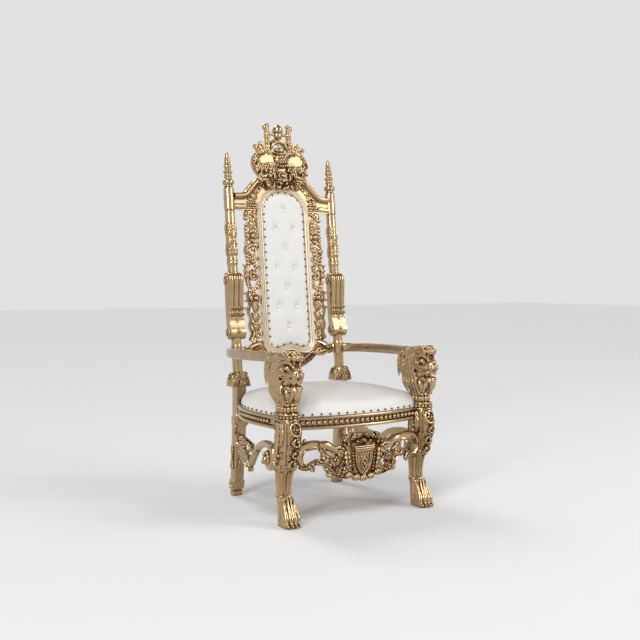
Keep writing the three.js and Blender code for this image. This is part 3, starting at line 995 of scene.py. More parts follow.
@dataclass
class Panel:
    """The upholstered panel and the moulding round it.

    Attributes:
        rows: Rows of tufting buttons.
        top: Height of the highest button.
        step: Height between rows.
        side: How far the paired buttons stand from the middle.
        nail_pitch: Spacing of the nails.
        roll: How far the pad rolls over the moulding's inner edge.
    """

    rows: int = 7
    top: float = 1370.0
    step: float = 95.0
    side: float = 49.5
    nail_pitch: float = 37.5
    roll: float = 8.0

    def outline(self, grow: float, n: int = 220) -> np.ndarray:
        """The panel's outline: straight sides, an arched top and a bracketed foot.

        Args:
            grow: How far it is grown outwards.
            n: How many points.

        Returns:
            Points (n, 2), evenly spaced once round.
        """
        half = PANEL_HALF + grow
        low = up(PANEL_LOW) - grow
        turn = 34 + 0.6 * grow
        arch = np.asarray(half_round(half, up(PANEL_SPRING), PANEL_TOP - PANEL_SPRING + grow, 40))
        a = np.radians(np.linspace(0, 90, 12))
        foot = np.stack([-half + turn * (1 - np.cos(a)), low + turn * (1 - np.sin(a))], axis=1)
        x = np.linspace(-half + turn, half - turn, 24)[1:-1]
        wave = np.stack([x, low + 17 * np.cos(np.pi * x / (2 * (half - turn))) ** 2], axis=1)
        return spaced(np.vstack([arch, foot, wave, (foot * [-1, 1])[::-1]]), n, closed=True)

    def moulding(self) -> Shell:
        """The moulding: its profile carried round the outline.

        Returns:
            The closed shell.
        """
        across = np.array(
            [0.5, 4, 7, 8.5, 11, 13, 14.5, 17, 20, 22.5, 25, 26.5, 29, 31.5, MOULDING, MOULDING]
        )
        proud = np.array([-8, 8, 12, 17, 19, 18, 13.5, 13.5, 18, 21, 20, 15, 16.5, 17, 13, -12])
        rows = [np.insert(self.outline(a), 1, -p, axis=1) for a, p in zip(across, proud)]
        return skin(np.stack(rows, axis=1), loop=True)

    def buttons(self) -> np.ndarray:
        """Where the buttons are, as [x, z] in the raked frame."""
        rows = [
            ((-self.side, self.side) if i % 2 else (0.0,), up(self.top - self.step * i))
            for i in range(self.rows)
        ]
        return np.array([(x, z) for xs, z in rows for x in xs])

    def height(self, x: np.ndarray, z: np.ndarray, edge: np.ndarray) -> np.ndarray:
        """The pad's relief: a roll at its edge, a low crown, and a dimple with four folds at each button.

        Args:
            x, z: Places on the pad.
            edge: Their distances from its edge.

        Returns:
            How far the pad stands proud there.
        """
        h = 14 * (1 - np.exp(-edge / 7)) + 7 * np.clip(edge / PANEL_HALF, 0, 1) ** 0.8
        reach = math.hypot(self.side, self.step)
        for bx, bz in self.buttons():
            r = np.hypot(x - bx, z - bz)
            h = h - 6.5 * np.exp(-((r / 10) ** 2)) - 4.5 * np.exp(-((r / 27) ** 2))
            for sx, sz in ((-1, -1), (-1, 1), (1, -1), (1, 1)):
                dx, dz = sx * self.side / reach, sz * self.step / reach
                along = (x - bx) * dx + (z - bz) * dz
                off = (x - bx) * dz - (z - bz) * dx
                live = np.clip(along / 6, 0, 1) * np.exp(-((along / 34) ** 2))
                h = h - 3.0 * live * np.exp(-((off / 3.6) ** 2))
        return h

    def pad(self) -> Shell:
        """The pad, in columns across its width, from the bracketed foot up to the arch and back behind.

        Returns:
            The closed shell.
        """
        half = PANEL_HALF + self.roll
        rim = self.outline(self.roll, 900)
        u = np.sin(np.linspace(-np.pi / 2, np.pi / 2, 92) * 0.985)
        u = u / u[-1]
        x = (half - 0.4) * u
        top = up(PANEL_SPRING) + (
            PANEL_TOP - PANEL_SPRING + self.roll
        ) * np.sqrt(np.clip(1 - (x / half) ** 2, 0, 1))
        under = rim[rim[:, 1] < up(PANEL_LOW) + 34]
        under = under[np.argsort(under[:, 0])]
        foot = np.interp(x, under[:, 0], under[:, 1])
        t = 0.5 - 0.5 * np.cos(np.linspace(0, np.pi, 190))
        grid_z = foot[:, None] + (top - foot)[:, None] * t[None, :]
        grid_x = np.repeat(x[:, None], len(t), 1)
        near = np.minimum.reduce([half - np.abs(grid_x), grid_z - foot[:, None], top[:, None] - grid_z])
        front = np.stack([grid_x, -2 - self.height(grid_x, grid_z, near), grid_z], axis=-1)
        back = front[:, ::-1].copy()
        back[..., 1] = 11
        return skin(np.concatenate([front, back[:, ::6]], axis=1))

    def nails(self) -> list[Shell]:
        """Nail heads evenly round the pad, a little inside its edge.

        Returns:
            The shells.
        """
        line = self.outline(-2.5, 2000)
        length = np.sum(np.linalg.norm(np.diff(line, axis=0, append=line[:1]), axis=1))
        count = round(length / self.nail_pitch)
        at = (np.arange(count) * len(line) / count).astype(int)
        return [egg(x, -14.5, z, 4.6, 3.4, 4.6, 12) for x, z in line[at]]

    def gem(self, x: float, z: float) -> Shell:
        """A faceted crystal sunk in its dimple.

        Args:
            x, z: Where it sits.

        Returns:
            The crystal.
        """
        y = -2 - float(self.height(np.array(x), np.array(z), np.array(PANEL_HALF - abs(x))))
        facets = turned([[-1.5, 9.0], [1.5, 9.0], [4.4, 5.2], [4.8, 0.5]], 8)
        return facets.mapped(lambda p: np.stack([x + p[:, 0], y - p[:, 2], z + p[:, 1]], axis=1)).outward()

    def build(self, shop: Workshop) -> None:
        """Makes the moulding, the pad, its nails and its buttons.

        Args:
            shop: The workshop that makes its pieces.
        """
        f = shop.finishes
        # The moulding takes the paler copy of the gold, which is a painted highlight.
        shop.make("moulding", [self.moulding().mapped(raked)], f.pale, replaces=["panel_moulding"])
        pad = shop.make("tufted_pad", [self.pad().mapped(raked)], f.hide, ["back_pad"])
        shop.make("panel_nails", [s.mapped(raked) for s in self.nails()], f.nail)
        shop.make("crystal_buttons", [self.gem(x, z).mapped(raked) for x, z in self.buttons()], f.crystal)


@dataclass
class SideStrip:
    """The pierced strip between the panel's moulding and a post.

    Attributes:
        middle: Its middle line.
        roses: Heights of its two flowers.
    """

    middle: float = 175.0
    roses: tuple = (1238.0, 937.0)

    def carving(self) -> list[Shell]:
        """Scrolls, leaves and husks, at heights above the floor, before the rake.

        Returns:
            The shells.
        """
        m = self.middle
        hook = [
            scroll([[148, 1282], [146, 1322], [164, 1352], [192, 1356], [207, 1334]], [9, 13, 14, 9], 13),
            egg(204, -5, 1325, 13, 12, 13, 20),
            leaf(150, 1366, 64, -44, 15, 8, 3, 13),
            leaf(170, 1330, 62, -104, 15, 6, 3, 13),
            leaf(196, 1306, 48, -112, 12, -6, 3),
            *(egg(204 + 2 * (k % 2), -3, 1292 - 17 * k, 10, 8, 10, 14) for k in range(6)),
            leaf(156, 1282, 60, -80, 13, 5, 2, 12),
        ]
        loops = [
            scroll(
                [[150, 1206], [152, 1188], [176, 1196], [204, 1180], [206, 1156], [190, 1150]],
                [8, 12, 13, 10],
                13,
                n=54,
            ),
            egg(203, -4, 1168, 11, 11, 11, 18),
            leaf(150, 1208, 96, -76, 14, 10, 4, 13),
            leaf(196, 1150, 66, -114, 16, -8, 4, 13),
            scroll(
                [[146, 1136], [170, 1122], [204, 1096], [212, 1060], [206, 1012], [190, 976]],
                [9, 12, 12, 10],
                11,
                n=60,
            ),
            *curl(170, 1046, 29, 9, 120, -330, [9, 11, 10, 7], 13, eye=9),
            leaf(150, 1096, 56, -62, 13, 6, 3, 12),
            leaf(148, 1020, 60, -52, 14, -8, 3, 12),
            *(egg(210 - 0.8 * (k - 2) ** 2, -3, 1196 - 18 * k, 9.5, 8, 9.5, 14) for k in range(6)),
            *(leaf(214 - k, 1086 - 26 * k, 22, 40, 8, 2, 1, 8) for k in range(3)),
        ]
        husks = [
            leaf(196, 1004, 56, -106, 15, 6, 3, 12),
            *(leaf(m - 2, 868 - 47 * k, 54, 118, 14, -8, 1, 15) for k in range(3)),
            *(leaf(m - 2, 868 - 47 * k, 54, 60, 14, 8, 1, 15) for k in range(3)),
            *(leaf(m - 2, 872 - 47 * k, 34, 90, 8, 0, 1, 17) for k in range(3)),
            *(egg(m - 2, -9, 864 - 47 * k, 8.5, 9, 8.5, 14) for k in range(3)),
            tube(
                smooth([(m, -5, 908), (m - 4, -7, 850), (m - 1, -6, 800), (m + 6, -6, 750)], 40),
                [6, 6.5, 6],
            ),
            *(leaf(206, 962 - 36 * k, 26, -14, 9, 4, 2, 9) for k in range(3)),
            scroll(
                [
                    [206, 976], [213, 944], [204, 908], [213, 872], [202, 838], [209, 802], [196, 764],
                    [192, 746],
                ],
                [5, 6.5, 6.5, 5],
                10,
                n=90,
            ),
            scroll([[186, 786], [192, 756], [206, 730]], [13, 16, 15], 13, section=Section.RIDGE),
            leaf(150, 776, 60, -62, 15, 6, 3, 12),
        ]
        lift = up(1040) - 1040
        return [x.moved(z=lift) for x in hook + loops + husks] + [
            rosette(m, up(z), 33, 4, 13, y=-5) for z in self.roses
        ]

    def build(self, shop: Workshop) -> None:
        """Makes both strips."""
        right = [s.mapped(raked) for s in self.carving()]
        shop.pair("strip", right, shop.finishes.gilt, "side_strip")


@dataclass
class Crest:
    """The top rail, its carved spandrels, the cartouche and the open crown.

    Attributes:
        line: Knots of the rail's upper edge, less half the moulding, from the post to the middle.
        proud: How far the cartouche's lower half stands in front of the rail's plane.
    """

    line: tuple = ((262, 1425), (222, 1427), (196, 1437), (168, 1466), (140, 1496), (108, 1508), (0, 1510))
    proud: float = 22.0

    def rail(self) -> list[Shell]:
        """The moulded rail on its ground, with a second band by each post.

        Returns:
            The shells.
        """
        half = [(x, up(z)) for x, z in self.line]
        path = smooth(half + [(-x, z) for x, z in half[:-1]][::-1], 120)
        across = np.array([-18, -18, -15, -8, 0, 7, 10, 13, 18, 18])
        proud = np.array([-14, 14, 24, 30, 29, 22, 14, 17, 14, -14])
        band = smooth([(264, up(1380)), (236, up(1380)), (204, up(1382))], 14)
        edge = [(p[0], p[2] + 6) for p in path[::-6]]
        arch = [
            (x, up(PANEL_SPRING) + 128 * math.sqrt(max(0.0, 1 - (x / 128) ** 2)))
            for x in range(-124, 125, 8)
        ]
        low = [
            (-262, up(CREST_LOW)), (-150, up(CREST_LOW)), *arch, (150, up(CREST_LOW)), (262, up(CREST_LOW))
        ]
        x = np.linspace(-262, 262, 180)
        foot = np.interp(x, *np.array(low).T)
        head = np.interp(x, *np.array(edge).T)
        deep = np.broadcast_to([-12.0, -12.0, 12.0, 12.0], (180, 4))
        heights = np.stack([foot, head, head, foot], axis=1)
        return [
            sweep(path, -across, proud),
            skin(np.stack([np.repeat(x[:, None], 4, 1), deep, heights], axis=-1)),
            *both(
                [
                    sweep(
                        band, np.array([-16, -14, -8, 4, 12, 16, 16, -16]),
                        np.array([8, 15, 19, 19, 13, 8, -8, -8]),
                    )
                ]
            ),
        ]

    def spandrels(self) -> list[Shell]:
        """Scrolls and berries between the rail and the moulding."""
        side = [
            *curl(152, up(1452), 17, 6, -60, 320, [5, 7, 5], 22, eye=6),
            *curl(124, up(1476), 15, 6, 200, -300, [5, 6, 5], 22, eye=5),
            *curl(176, up(1424), 15, 6, 80, -300, [5, 6, 5], 22, eye=5),
            *curl(152, up(1420), 12, 5, 10, 280, [5, 6, 4], 22, eye=5),
            scroll([(204, up(1410)), (178, up(1402)), (152, up(1398)), (142, up(1380))], [6, 8, 7, 5], 22),
            scroll([(176, up(1446)), (160, up(1474)), (136, up(1492)), (108, up(1494))], [5, 7, 7, 5], 20),
            scroll([(120, up(1494)), (106, up(1484)), (92, up(1488))], [6, 8, 6], 22),
            *(
                egg(148 + 13.5 * i + 6 * (j % 2), -13, up(1373 + 12.5 * j), 7, 7, 6.6, 12)
                for j in range(3)
                for i in range(5 - j // 2)
            ),
            *(egg(140 - 9 * k, -13, up(1440 + 11 * k), 5.4, 6, 5.4, 12) for k in range(5)),
        ]
        return both(side)

    def lobes(self) -> list[Shell]:
        """The cartouche's upper half: puffed lobes over hanging leaves, a ruffled edge and upright leaves.

        Returns:
            The shells.
        """
        z0 = 1604
        dome = self.half_dome(80, up(z0), 61, 47, 13)
        outer = spiral(84, up(z0 - 8), 63, 63, -52, 150, 15)
        frill = [
            egg(84 + 63 * math.cos(a), -4, up(z0 - 8) + 63 * math.sin(a), 10, 11, 10, 14)
            for a in np.radians(np.linspace(-50, 84, 11))
        ]
        hanging = [
            *(
                leaf(116 - 24 * k, up(1590), 48, -62 - 16 * k, 16, 4, 3, 14, 14, 6).moved(y=-14)
                for k in range(4)
            ),
            *(
                leaf(126 - 22 * k, up(1566), 30, -50 - 14 * k, 11, 3, 2, 12, 14, 5).moved(y=-16)
                for k in range(4)
            ),
        ]
        side = [
            dome,
            strap(smooth(outer, 60), [7, 9, 9, 7], 14, 8, Section.CHANNEL),
            *frill,
            *hanging,
            *(s.moved(y=-8) for s in curl(128, up(1590), 18, 7, 60, -300, [7, 9, 7], 20, eye=7)),
            leaf(68, up(1650), 66, 96, 21, -4, 3, 14),
            leaf(80, up(1646), 66, 66, 23, -3, 3, 14),
            leaf(92, up(1642), 66, 38, 20, 5, 3, 14),
        ]
        foot = [(-140, 1560), (-100, 1520), (0, 1480), (100, 1520), (140, 1560)]
        head = [(-140, 1612), (-112, 1646), (-70, 1660), (0, 1652), (70, 1660), (112, 1646), (140, 1612)]
        ground = board([(x, up(z)) for x, z in foot], [(x, up(z)) for x, z in head], -7, 20, 4)
        return [ground, *both(side)]

    @staticmethod
    def half_dome(x: float, z: float, rx: float, rz: float, deep: float) -> Shell:
        """A puffed lobe over polar coordinates: round above, and cut in points below.

        Args:
            x, z: Its middle.
            rx, rz: Its half sizes.
            deep: How far it stands proud.

        Returns:
            The closed shell.
        """
        a = np.linspace(0, 2 * np.pi, 72, endpoint=False)[None, :]
        share = np.sin(np.linspace(0.04, 1, 14) * np.pi / 2)[::-1, None]
        below = np.clip(-np.sin(a), 0, 1)
        zig = 0.26 + 0.24 * np.abs(np.sin(4.5 * np.arccos(np.clip(np.cos(a), -1, 1))))
        squash = np.where(np.sin(a) < 0, zig / np.maximum(below, 0.25), 1.0)
        px = x + rx * share * np.cos(a)
        pz = z + rz * share * np.sin(a) * np.minimum(squash, 1.0)
        pleat = 1.6 * np.cos(11 * a) * np.clip(share - 0.5, 0, 0.5)
        py = -deep * np.clip(1 - share**5, 0, 1) ** 0.6 - 6 + pleat * (share < 0.99)
        front = np.stack([px, py, pz], axis=-1)
        back = front[:1].copy()
        back[..., 1] = 6
        return skin(np.concatenate([back, front]))

    @staticmethod
    def strand(x: float, lean: float) -> Shell:
        """A strand of the cone's net.

        Args:
            x: Where it crosses the middle of the cone.
            lean: How far its upper end stands to the right of that, and its lower end to the left.

        Returns:
            The strand.
        """
        low, high = x - lean, x + lean
        knots = [
            (low, -30 + 0.010 * low**2, up(1592)),
            (x, -37 + 0.012 * x * x, up(1614)),
            (high, -30 + 0.010 * high**2, up(1638)),
        ]
        return tube(smooth(knots, 14), [2.8, 3.4, 2.8])

    def heart(self) -> list[Shell]:
        """The cartouche's middle and lower half: a netted cone, beads, a rose and scrolls.

        Returns:
            The shells.
        """
        net = [self.strand(x, lean) for lean in (-17, 17) for x in (-22, -7.5, 7.5, 22)]
        crossings = [(x, z) for z in (1603, 1626) for x in (-15, 0, 15)] + [(-7, 1614), (7, 1614)]
        knots = [egg(x, -38 + 0.012 * x * x, up(z), 4.6, 5, 4.6, 10) for x, z in crossings]
        beads = [egg(13 * k, -34 + 0.4 * k * k, up(1582 + k * k), 7, 8, 7, 14) for k in range(-2, 3)]
        side = [
            leaf(30, up(1576), 40, -14, 12, 6, 3, 20),
            leaf(24, up(1566), 44, -34, 12, 6, 3, 22),
            scroll([(34, up(1562)), (44, up(1538)), (40, up(1514)), (24, up(1504))], [7, 10, 10, 7], 18),
            leaf(62, up(1578), 60, -72, 18, -8, 3, 18),
            *curl(96, up(1546), 22, 9, 40, -300, [8, 11, 9], 18, eye=9),
            leaf(110, up(1540), 44, -66, 15, 5, 2, 14),
            scroll(
                [(74, up(1532)), (62, up(1510)), (68, up(1488)), (88, up(1468))],
                [9, 14, 13, 9],
                20,
                section=Section.RIDGE,
            ),
            scroll([(54, up(1520)), (46, up(1500)), (50, up(1482)), (62, up(1470))], [7, 11, 11, 8], 20),
            leaf(88, up(1508), 46, -122, 14, 6, 3, 18),
            *curl(20, up(1490), 18, 7, 100, -340, [7, 9, 8, 6], 20, eye=8),
        ]
        middle = [
            rosette(0, up(1536), 27, 6, 12, 22, 0),
            sweep(ellipse(0, up(1536), 20, 20, -8), *rod(3.6), loop=True),
            egg(0, -6, up(1471), 7, 14, 9, 14),
            drop(0, up(1508), 8, 9, 18),
        ]
        lower = [s.moved(y=-self.proud) for s in [*both(side), *middle]]
        foot = [(-98, 1536), (-64, 1478), (0, 1466), (64, 1478), (98, 1536)]
        head = [(-98, 1592), (-60, 1604), (60, 1604), (98, 1592)]
        ground = board([(x, up(z)) for x, z in foot], [(x, up(z)) for x, z in head], -21, 28, 4)
        return [ground, egg(0, -12, up(1616), 34, 22, 34, 30), *net, *knots, *beads, *lower]

    def crown(self) -> list[Shell]:
        """The open crown: a hooded jewel, a crescent, two knobbed uprights, a bar, an orb and a cap.

        Returns:
            The shells.
        """
        stem = rounded(
            [
                [1648, 15], [1684, 13], [1700, 11], [1704, 15], [1709, 15], [1713, 11], [1722, 11],
                [1727, 15], [1732, 15], [1736, 11], [1742, 14], [1760, 13], [1780, 12],
            ]
        )
        post = turned([[up(z), r] for z, r in stem], 24)
        side = [
            post.moved(61, 2),
            egg(68, 2, up(1779), 15, 14, 15, 22),
            egg(57, 2, up(1789), 12.5, 12, 11.5, 20),
            tube(smooth([(40, 0, up(1652)), (52, 0, up(1668)), (46, 0, up(1690))], 18), [6, 8, 7]),
        ]
        hood = spiral(0, up(1668), 42, 42, 2, 176, 13)
        crescent = [(-52, up(1700)), (-30, up(1712)), (0, up(1717)), (30, up(1712)), (52, up(1700))]
        profile = [
            [1752, 18], [1757, 25], [1763, 27.5], [1766, 27.5], [1768, 25.5], [1772, 25.5], [1780, 22],
            [1790, 13], [1799, 2],
        ]
        return [
            *both(side),
            strap(smooth(hood, 48), [9, 11, 12, 11, 9], 19, 12, Section.ROUND),
            strap(smooth(crescent, 40), [5, 8, 11, 8, 5], 13, 10, Section.ROUND),
            tube(smooth([(-60, 0, up(1747)), (0, 0, up(1745)), (60, 0, up(1747))], 24), [8, 7, 8]),
            egg(0, -6, up(1666), 30, 21, 15, 28),
            scroll([(-40, up(1652)), (0, up(1648)), (40, up(1652))], [6, 8, 6], 20, 10, Section.ROUND),
            egg(0, 0, up(1741), 23, 20, 20, 26),
            turned([[up(z), r] for z, r in rounded(profile)], 28),
            turned([[up(1690), 9], [up(1730), 10]], 14),
        ]

    def build(self, shop: Workshop) -> None:
        """Makes the crest."""
        shells = self.rail() + self.spandrels() + self.lobes() + self.heart() + self.crown()
        shop.make("crest", [s.mapped(raked) for s in shells], shop.finishes.gilt, replaces=["crest_rail"])


@dataclass
class LowerRail:
    """The lower rail of the back: a leaf and a volute by each post, and a pierced swag under the panel."""

    def carving(self) -> list[Shell]:
        """Its shells, at heights above the floor, before the rake."""
        s = [
            board(
                [(140, 668), (180, 664), (220, 668), (262, 664)],
                [(140, 726), (180, 724), (220, 712), (262, 706)], -6, 20, 5,
            ),
            scroll([(140, 726), (170, 722), (204, 708), (226, 690)], [7, 12, 13, 9], 15),
            scroll([(144, 704), (176, 702), (206, 690)], [8, 13, 9], 15, section=Section.RIDGE),
            *curl(218, 682, 21, 8, 60, -320, [7, 10, 9, 7], 17, eye=8),
            leaf(246, 700, 44, 190, 14, -4, 3, 13),
            leaf(206, 672, 64, 186, 16, 6, 4, 15),
            leaf(178, 688, 56, 208, 15, 6, 3, 14),
            scroll(
                [(180, 668), (150, 664), (108, 632), (56, 606), (-6, 599)], [9, 12, 12, 13], 14, 9,
                Section.RIDGE, 50,
            ),
            scroll(
                [(140, 684), (112, 662), (78, 640), (40, 630), (-4, 628)], [6, 8, 8, 8], 12, 8,
                Section.ROUND, 44,
            ),
            *curl(98, 668, 18, 7, 60, 300, [6, 8, 6], 13, eye=6),
            *curl(56, 662, 20, 8, 120, -300, [7, 9, 6], 13, eye=7),
            leaf(136, 690, 44, -138, 13, 4, 3, 13),
            leaf(84, 690, 50, -164, 13, -5, 3, 13),
            leaf(40, 686, 46, -112, 14, 5, 3, 14),
            leaf(14, 684, 56, -86, 15, -3, 3, 14),
            *(egg(120 - 22 * k, -12, 640 - 8 * k + k * k, 5, 7, 5, 12) for k in range(5)),
        ]
        return both(s) + [drop(0, 632, 16, 22, 24), drop(0, 598, 15, 13, 20)]

    def build(self, shop: Workshop) -> None:
        """Makes the rail.

        Args:
            shop: The workshop that makes its pieces.
        """
        lift = up(650) - 650
        shells = [s.moved(z=lift).mapped(raked) for s in self.carving()]
        shop.make("lower_rail", shells, shop.finishes.gilt, replaces=["lower_back_rail"])


@dataclass
class RearPost:
    """A rear post: turned shaft and finial, console scroll, capital and square leg.

    Attributes:
        shaft: Height and radius of the turned shaft.
        square: Height, middle in Y, half width and half depth of the square leg.
        half: Half width of the console.
        reeds: Convex reeds across its front.
        capital_y: Y of the capital's middle.
    """

    shaft: tuple = (
        (575, 24), (590, 24), (650, 24), (652, 27), (714, 27), (717, 24), (1098, 24), (1101, 27),
        (1108, 28), (1113, 25), (1118, 28), (1125, 27), (1128, 24), (1142, 24), (1150, 26), (1290, 26),
        (1298, 24), (1352, 24), (1354, 21), (1357, 21), (1359, 26.5), (1464, 25.5), (1472, 20),
        (1479, 19), (1482, 26), (1487, 28.5), (1496, 28), (1503, 24), (1506, 17), (1514, 16),
        (1518, 20), (1522, 20), (1526, 16), (1535, 16), (1538, 23), (1544, 23.5), (1548, 17),
        (1554, 13), (1558, 14), (1563, 18), (1572, 19), (1580, 14), (1583, 12), (1586, 15), (1592, 15),
        (1612, 12), (1630, 8.5), (1637, 3),
    )
    square: tuple = (
        (0, 300, 21, 19), (3, 300, 24, 22), (22, 298, 25, 23), (26, 298, 21, 19), (30, 298, 23, 21),
        (33, 298, 30, 27), (74, 293, 31, 28), (80, 292, 28, 25), (84, 291, 26, 24), (130, 286, 26, 24),
        (240, 276, 27, 25), (330, 268, 28, 26), (360, 266, 31, 29), (380, 265, 31, 29),
        (384, 264, 28, 24), (528, 264, 28, 24),
    )
    half: float = 38.0
    reeds: int = 3
    capital_y: float = 272.0

    def side_faces(self, z: np.ndarray) -> tuple[np.ndarray, np.ndarray]:
        """Side view of the console: an upper roll, a long front with two beaded collars, and a lower roll.

        Args:
            z: Heights.

        Returns:
            Y of the front and of the back at each height.
        """
        knots = np.array([
            [775, -36], [788, -34], [800, -29], [812, -25], [832, -22], [850, -22],
            [855, -30], [865, -30], [868, -25], [882, -25], [885, -31], [895, -31],
            [898, -26], [915, -28], [945, -33], [980, -38], [1005, -41], [1026, -42],
        ])
        front = np.interp(z, knots[:, 0], knots[:, 1])
        front = np.where(z > 1026, -6 - 36 * np.sqrt(np.clip(1 - ((z - 1026) / 36) ** 2, 0, 1)), front)
        front = np.where(z < 775, -4 - 32 * np.sqrt(np.clip(1 - ((z - 775) / 32) ** 2, 0, 1)), front)
        back = 8 + 12 * np.sqrt(np.clip(1 - ((z - 902) / 160) ** 2, 0, 1))
        return front, back

    def on_side(self, p: np.ndarray) -> np.ndarray:
        """Turns flat carving to stand on the console's +X face."""
        return np.stack([self.half - p[:, 1], p[:, 0], p[:, 2]], axis=1)

    def console(self) -> list[Shell]:
        """The console: rings whose front is waved by the reeds, with a spiral on each side face.

        Returns:
            The shells.
        """
        lower_roll = 775 - 31.6 * np.cos(np.linspace(0, np.pi / 2, 16))[:-1]
        upper_roll = 1026 + 35.6 * np.sin(np.linspace(0, np.pi / 2, 18))
        z = np.concatenate([lower_roll, np.arange(775, 1026, 2.0), upper_roll])
        front, back = self.side_faces(z)
        x = np.linspace(-self.half, self.half, 12 * self.reeds + 1)
        wave = np.abs(np.sin(self.reeds * np.pi * (x + self.half) / (2 * self.half))) ** 0.5
        inset = (7 * np.clip((z - 846) / 8, 0, 1))[:, None] * (1 - wave)
        face = front[:, None] + np.minimum(inset, 0.3 * (back - front)[:, None])
        head = z[:, None] - inset * np.clip((z - 1026) / 34, 0, 1)[:, None]
        row = np.stack([np.broadcast_to(x, face.shape), face, head], axis=-1)
        rear = np.stack(np.broadcast_arrays(x[::-6], back[:, None], z[:, None]), axis=-1)
        body = skin(np.concatenate([row, rear], axis=1))
        beads = [egg(xk, -34, zk, 3.8, 4.5, 3.8, 10) for zk in (890, 860) for xk in np.linspace(-33, 33, 9)]
        sides = []
        for cy, cz, r, a0, turn in ((-7, 1026, 26, -70, 430), (-2, 775, 24, 70, -430)):
            for f in curl(cy, cz, r, 8, a0, turn, [4.5, 5.5, 5.5, 4.5], 6, 5, Section.ROUND, eye=8):
                spiral_out = f.mapped(self.on_side).outward()
                sides += [spiral_out, spiral_out.mirrored()]
        stud = [egg(0, -35, 780, 13, 6, 11, 20), egg(0, -39, 780, 7, 6, 6, 14)]
        return [body, *beads, *sides, *stud]

    def sleeve(self) -> list[Shell]:
        """The carved sleeve of the shaft: leaves round it and an oval medallion on its front.

        Returns:
            The shells.
        """
        made = []
        for z, long, way in ((1140, 56, 90), (1292, 52, -90)):
            flat = leaf(0, z, long, way, 12, 0, 3, 5, 6, 2)
            made += [flat.mapped(round_axis(60 * k + 30, 24)) for k in range(6)]
        made.append(sweep(ellipse(0, 1215, 11, 17, -26, 29), *rod(2.6), loop=True))
        made.append(egg(0, -25, 1215, 7, 6, 12, 18))
        for turn, way in ((-28, 300), (28, -300)):
            for z in (1189, 1241):
                flat = curl(0, z, 10, 4, 90, way, [3, 4, 3], 5, 4, Section.ROUND, eye=3)
                made += [f.mapped(round_axis(turn, 26)) for f in flat]
        return made

    def capital(self) -> list[Shell]:
        """The capital: a half-round lunette on each face, with nested arches and a palmette.

        Returns:
            The shells.
        """
        ground = board([(-46, 525), (46, 525)], half_round(46, 525, 68)[::-1], -36, 72, 3)
        a = np.linspace(0.05, math.pi - 0.05, 11)
        lines = [
            np.stack([r * np.cos(a), np.full(11, -36.0), 528 + 1.46 * r * np.sin(a)], axis=1)
            for r in (41, 31)
        ]
        arches = [strap(smooth(line, 36), [3.4, 3.4], 5, 4, Section.ROUND) for line in lines]
        petals = [
            leaf(0, 530, 34 - 0.16 * abs(d), 90 + d, 6.5, 0, 1, 9, 4, 1).moved(y=-36)
            for d in (-56, -28, 0, 28, 56)
        ]
        foot = [drop(x, 528, 4, 4, 6, -37) for x in np.linspace(-36, 36, 9)]
        carved = [*arches, *petals, *foot]
        flank = [
            f.mapped(lambda p: np.stack([-p[:, 1] + 2, 0.78 * p[:, 0], p[:, 2]], axis=1)).outward()
            for f in (ground, *carved)
        ]
        shells = [ground, *carved, *flank, *(f.mirrored() for f in flank[1:])]
        return [f.moved(y=self.capital_y) for f in shells]

    @staticmethod
    def on_outer(p: np.ndarray) -> np.ndarray:
        """Wraps flat carving onto the leg's outer side, which leans back towards the floor."""
        return np.stack([27 - p[:, 1], 285 - 0.09 * (p[:, 2] - 100) + p[:, 0], p[:, 2]], axis=1)

    @staticmethod
    def on_front(p: np.ndarray) -> np.ndarray:
        """Wraps flat carving onto the leg's front."""
        return np.stack([p[:, 0] * 0.8, 266 - 0.09 * (p[:, 2] - 100) + p[:, 1], p[:, 2]], axis=1)

    def leg(self) -> list[Shell]:
        """The square rear leg: rounded square rings, with carving on its outer side and its front.

        Returns:
            The shells.
        """
        rows = np.array(self.square, float)
        steps = [np.linspace(low, high, 5, endpoint=False) for low, high in zip(rows[:-1, 0], rows[1:, 0])]
        z = np.concatenate([*steps, [528.0]])
        y, hx, hy = (np.interp(z, rows[:, 0], rows[:, k])[:, None] for k in (1, 2, 3))
        a = np.linspace(0, 2 * np.pi, 48, endpoint=False)[None, :]
        x = hx * squarish(np.cos(a), 0.28)
        body = skin(np.stack([x, y + hy * squarish(np.sin(a), 0.28), z[:, None] + 0 * a], axis=-1))
        carved = [
            *curl(0, 52, 15, 6, 200, -330, [5, 6, 5], 7, 6, eye=5),
            *curl(6, 140, 13, 5, -60, 300, [5, 6, 4], 7, 6, eye=5),
            leaf(-6, 300, 74, 96, 15, 5, 3, 9),
            leaf(0, 130, 60, 92, 13, -4, 3, 8),
            leaf(4, 250, 60, -96, 12, 4, 3, 8),
        ]
        outer = [f.mapped(self.on_outer).outward() for f in carved]
        front = [f.mapped(self.on_front) for f in carved[-2:]]
        bracket = board(
            [(-58, 396), (-46, 352), (-26, 330)], [(-58, 399), (-40, 399), (-26, 399)], 250, 26, 3, 24
        )
        return [body, *outer, *front, bracket]

    def shells(self) -> list[Shell]:
        """The right-hand post, standing at X = 0.

        Returns:
            The shells.
        """
        shaft = turned([[up(z), r] for z, r in rounded(self.shaft)], 40)
        lift = up(900) - 900
        upper = [
            shaft, *(s.moved(z=lift) for s in self.console()),
            *(s.moved(z=up(1215) - 1215) for s in self.sleeve()),
        ]
        return [s.mapped(raked) for s in upper] + self.capital() + self.leg()

    def build(self, shop: Workshop) -> None:
        """Makes both posts."""
        right = [s.moved(POST_X) for s in self.shells()]
        shop.pair("post", right, shop.finishes.gilt, "rear_post")


# --- Seat ---


def plan_line(points: Points, n: int) -> np.ndarray:
    """Evenly spaced points of a plan curve at Z = 0."""
    return smooth([(x, y, 0) for x, y in points], n)


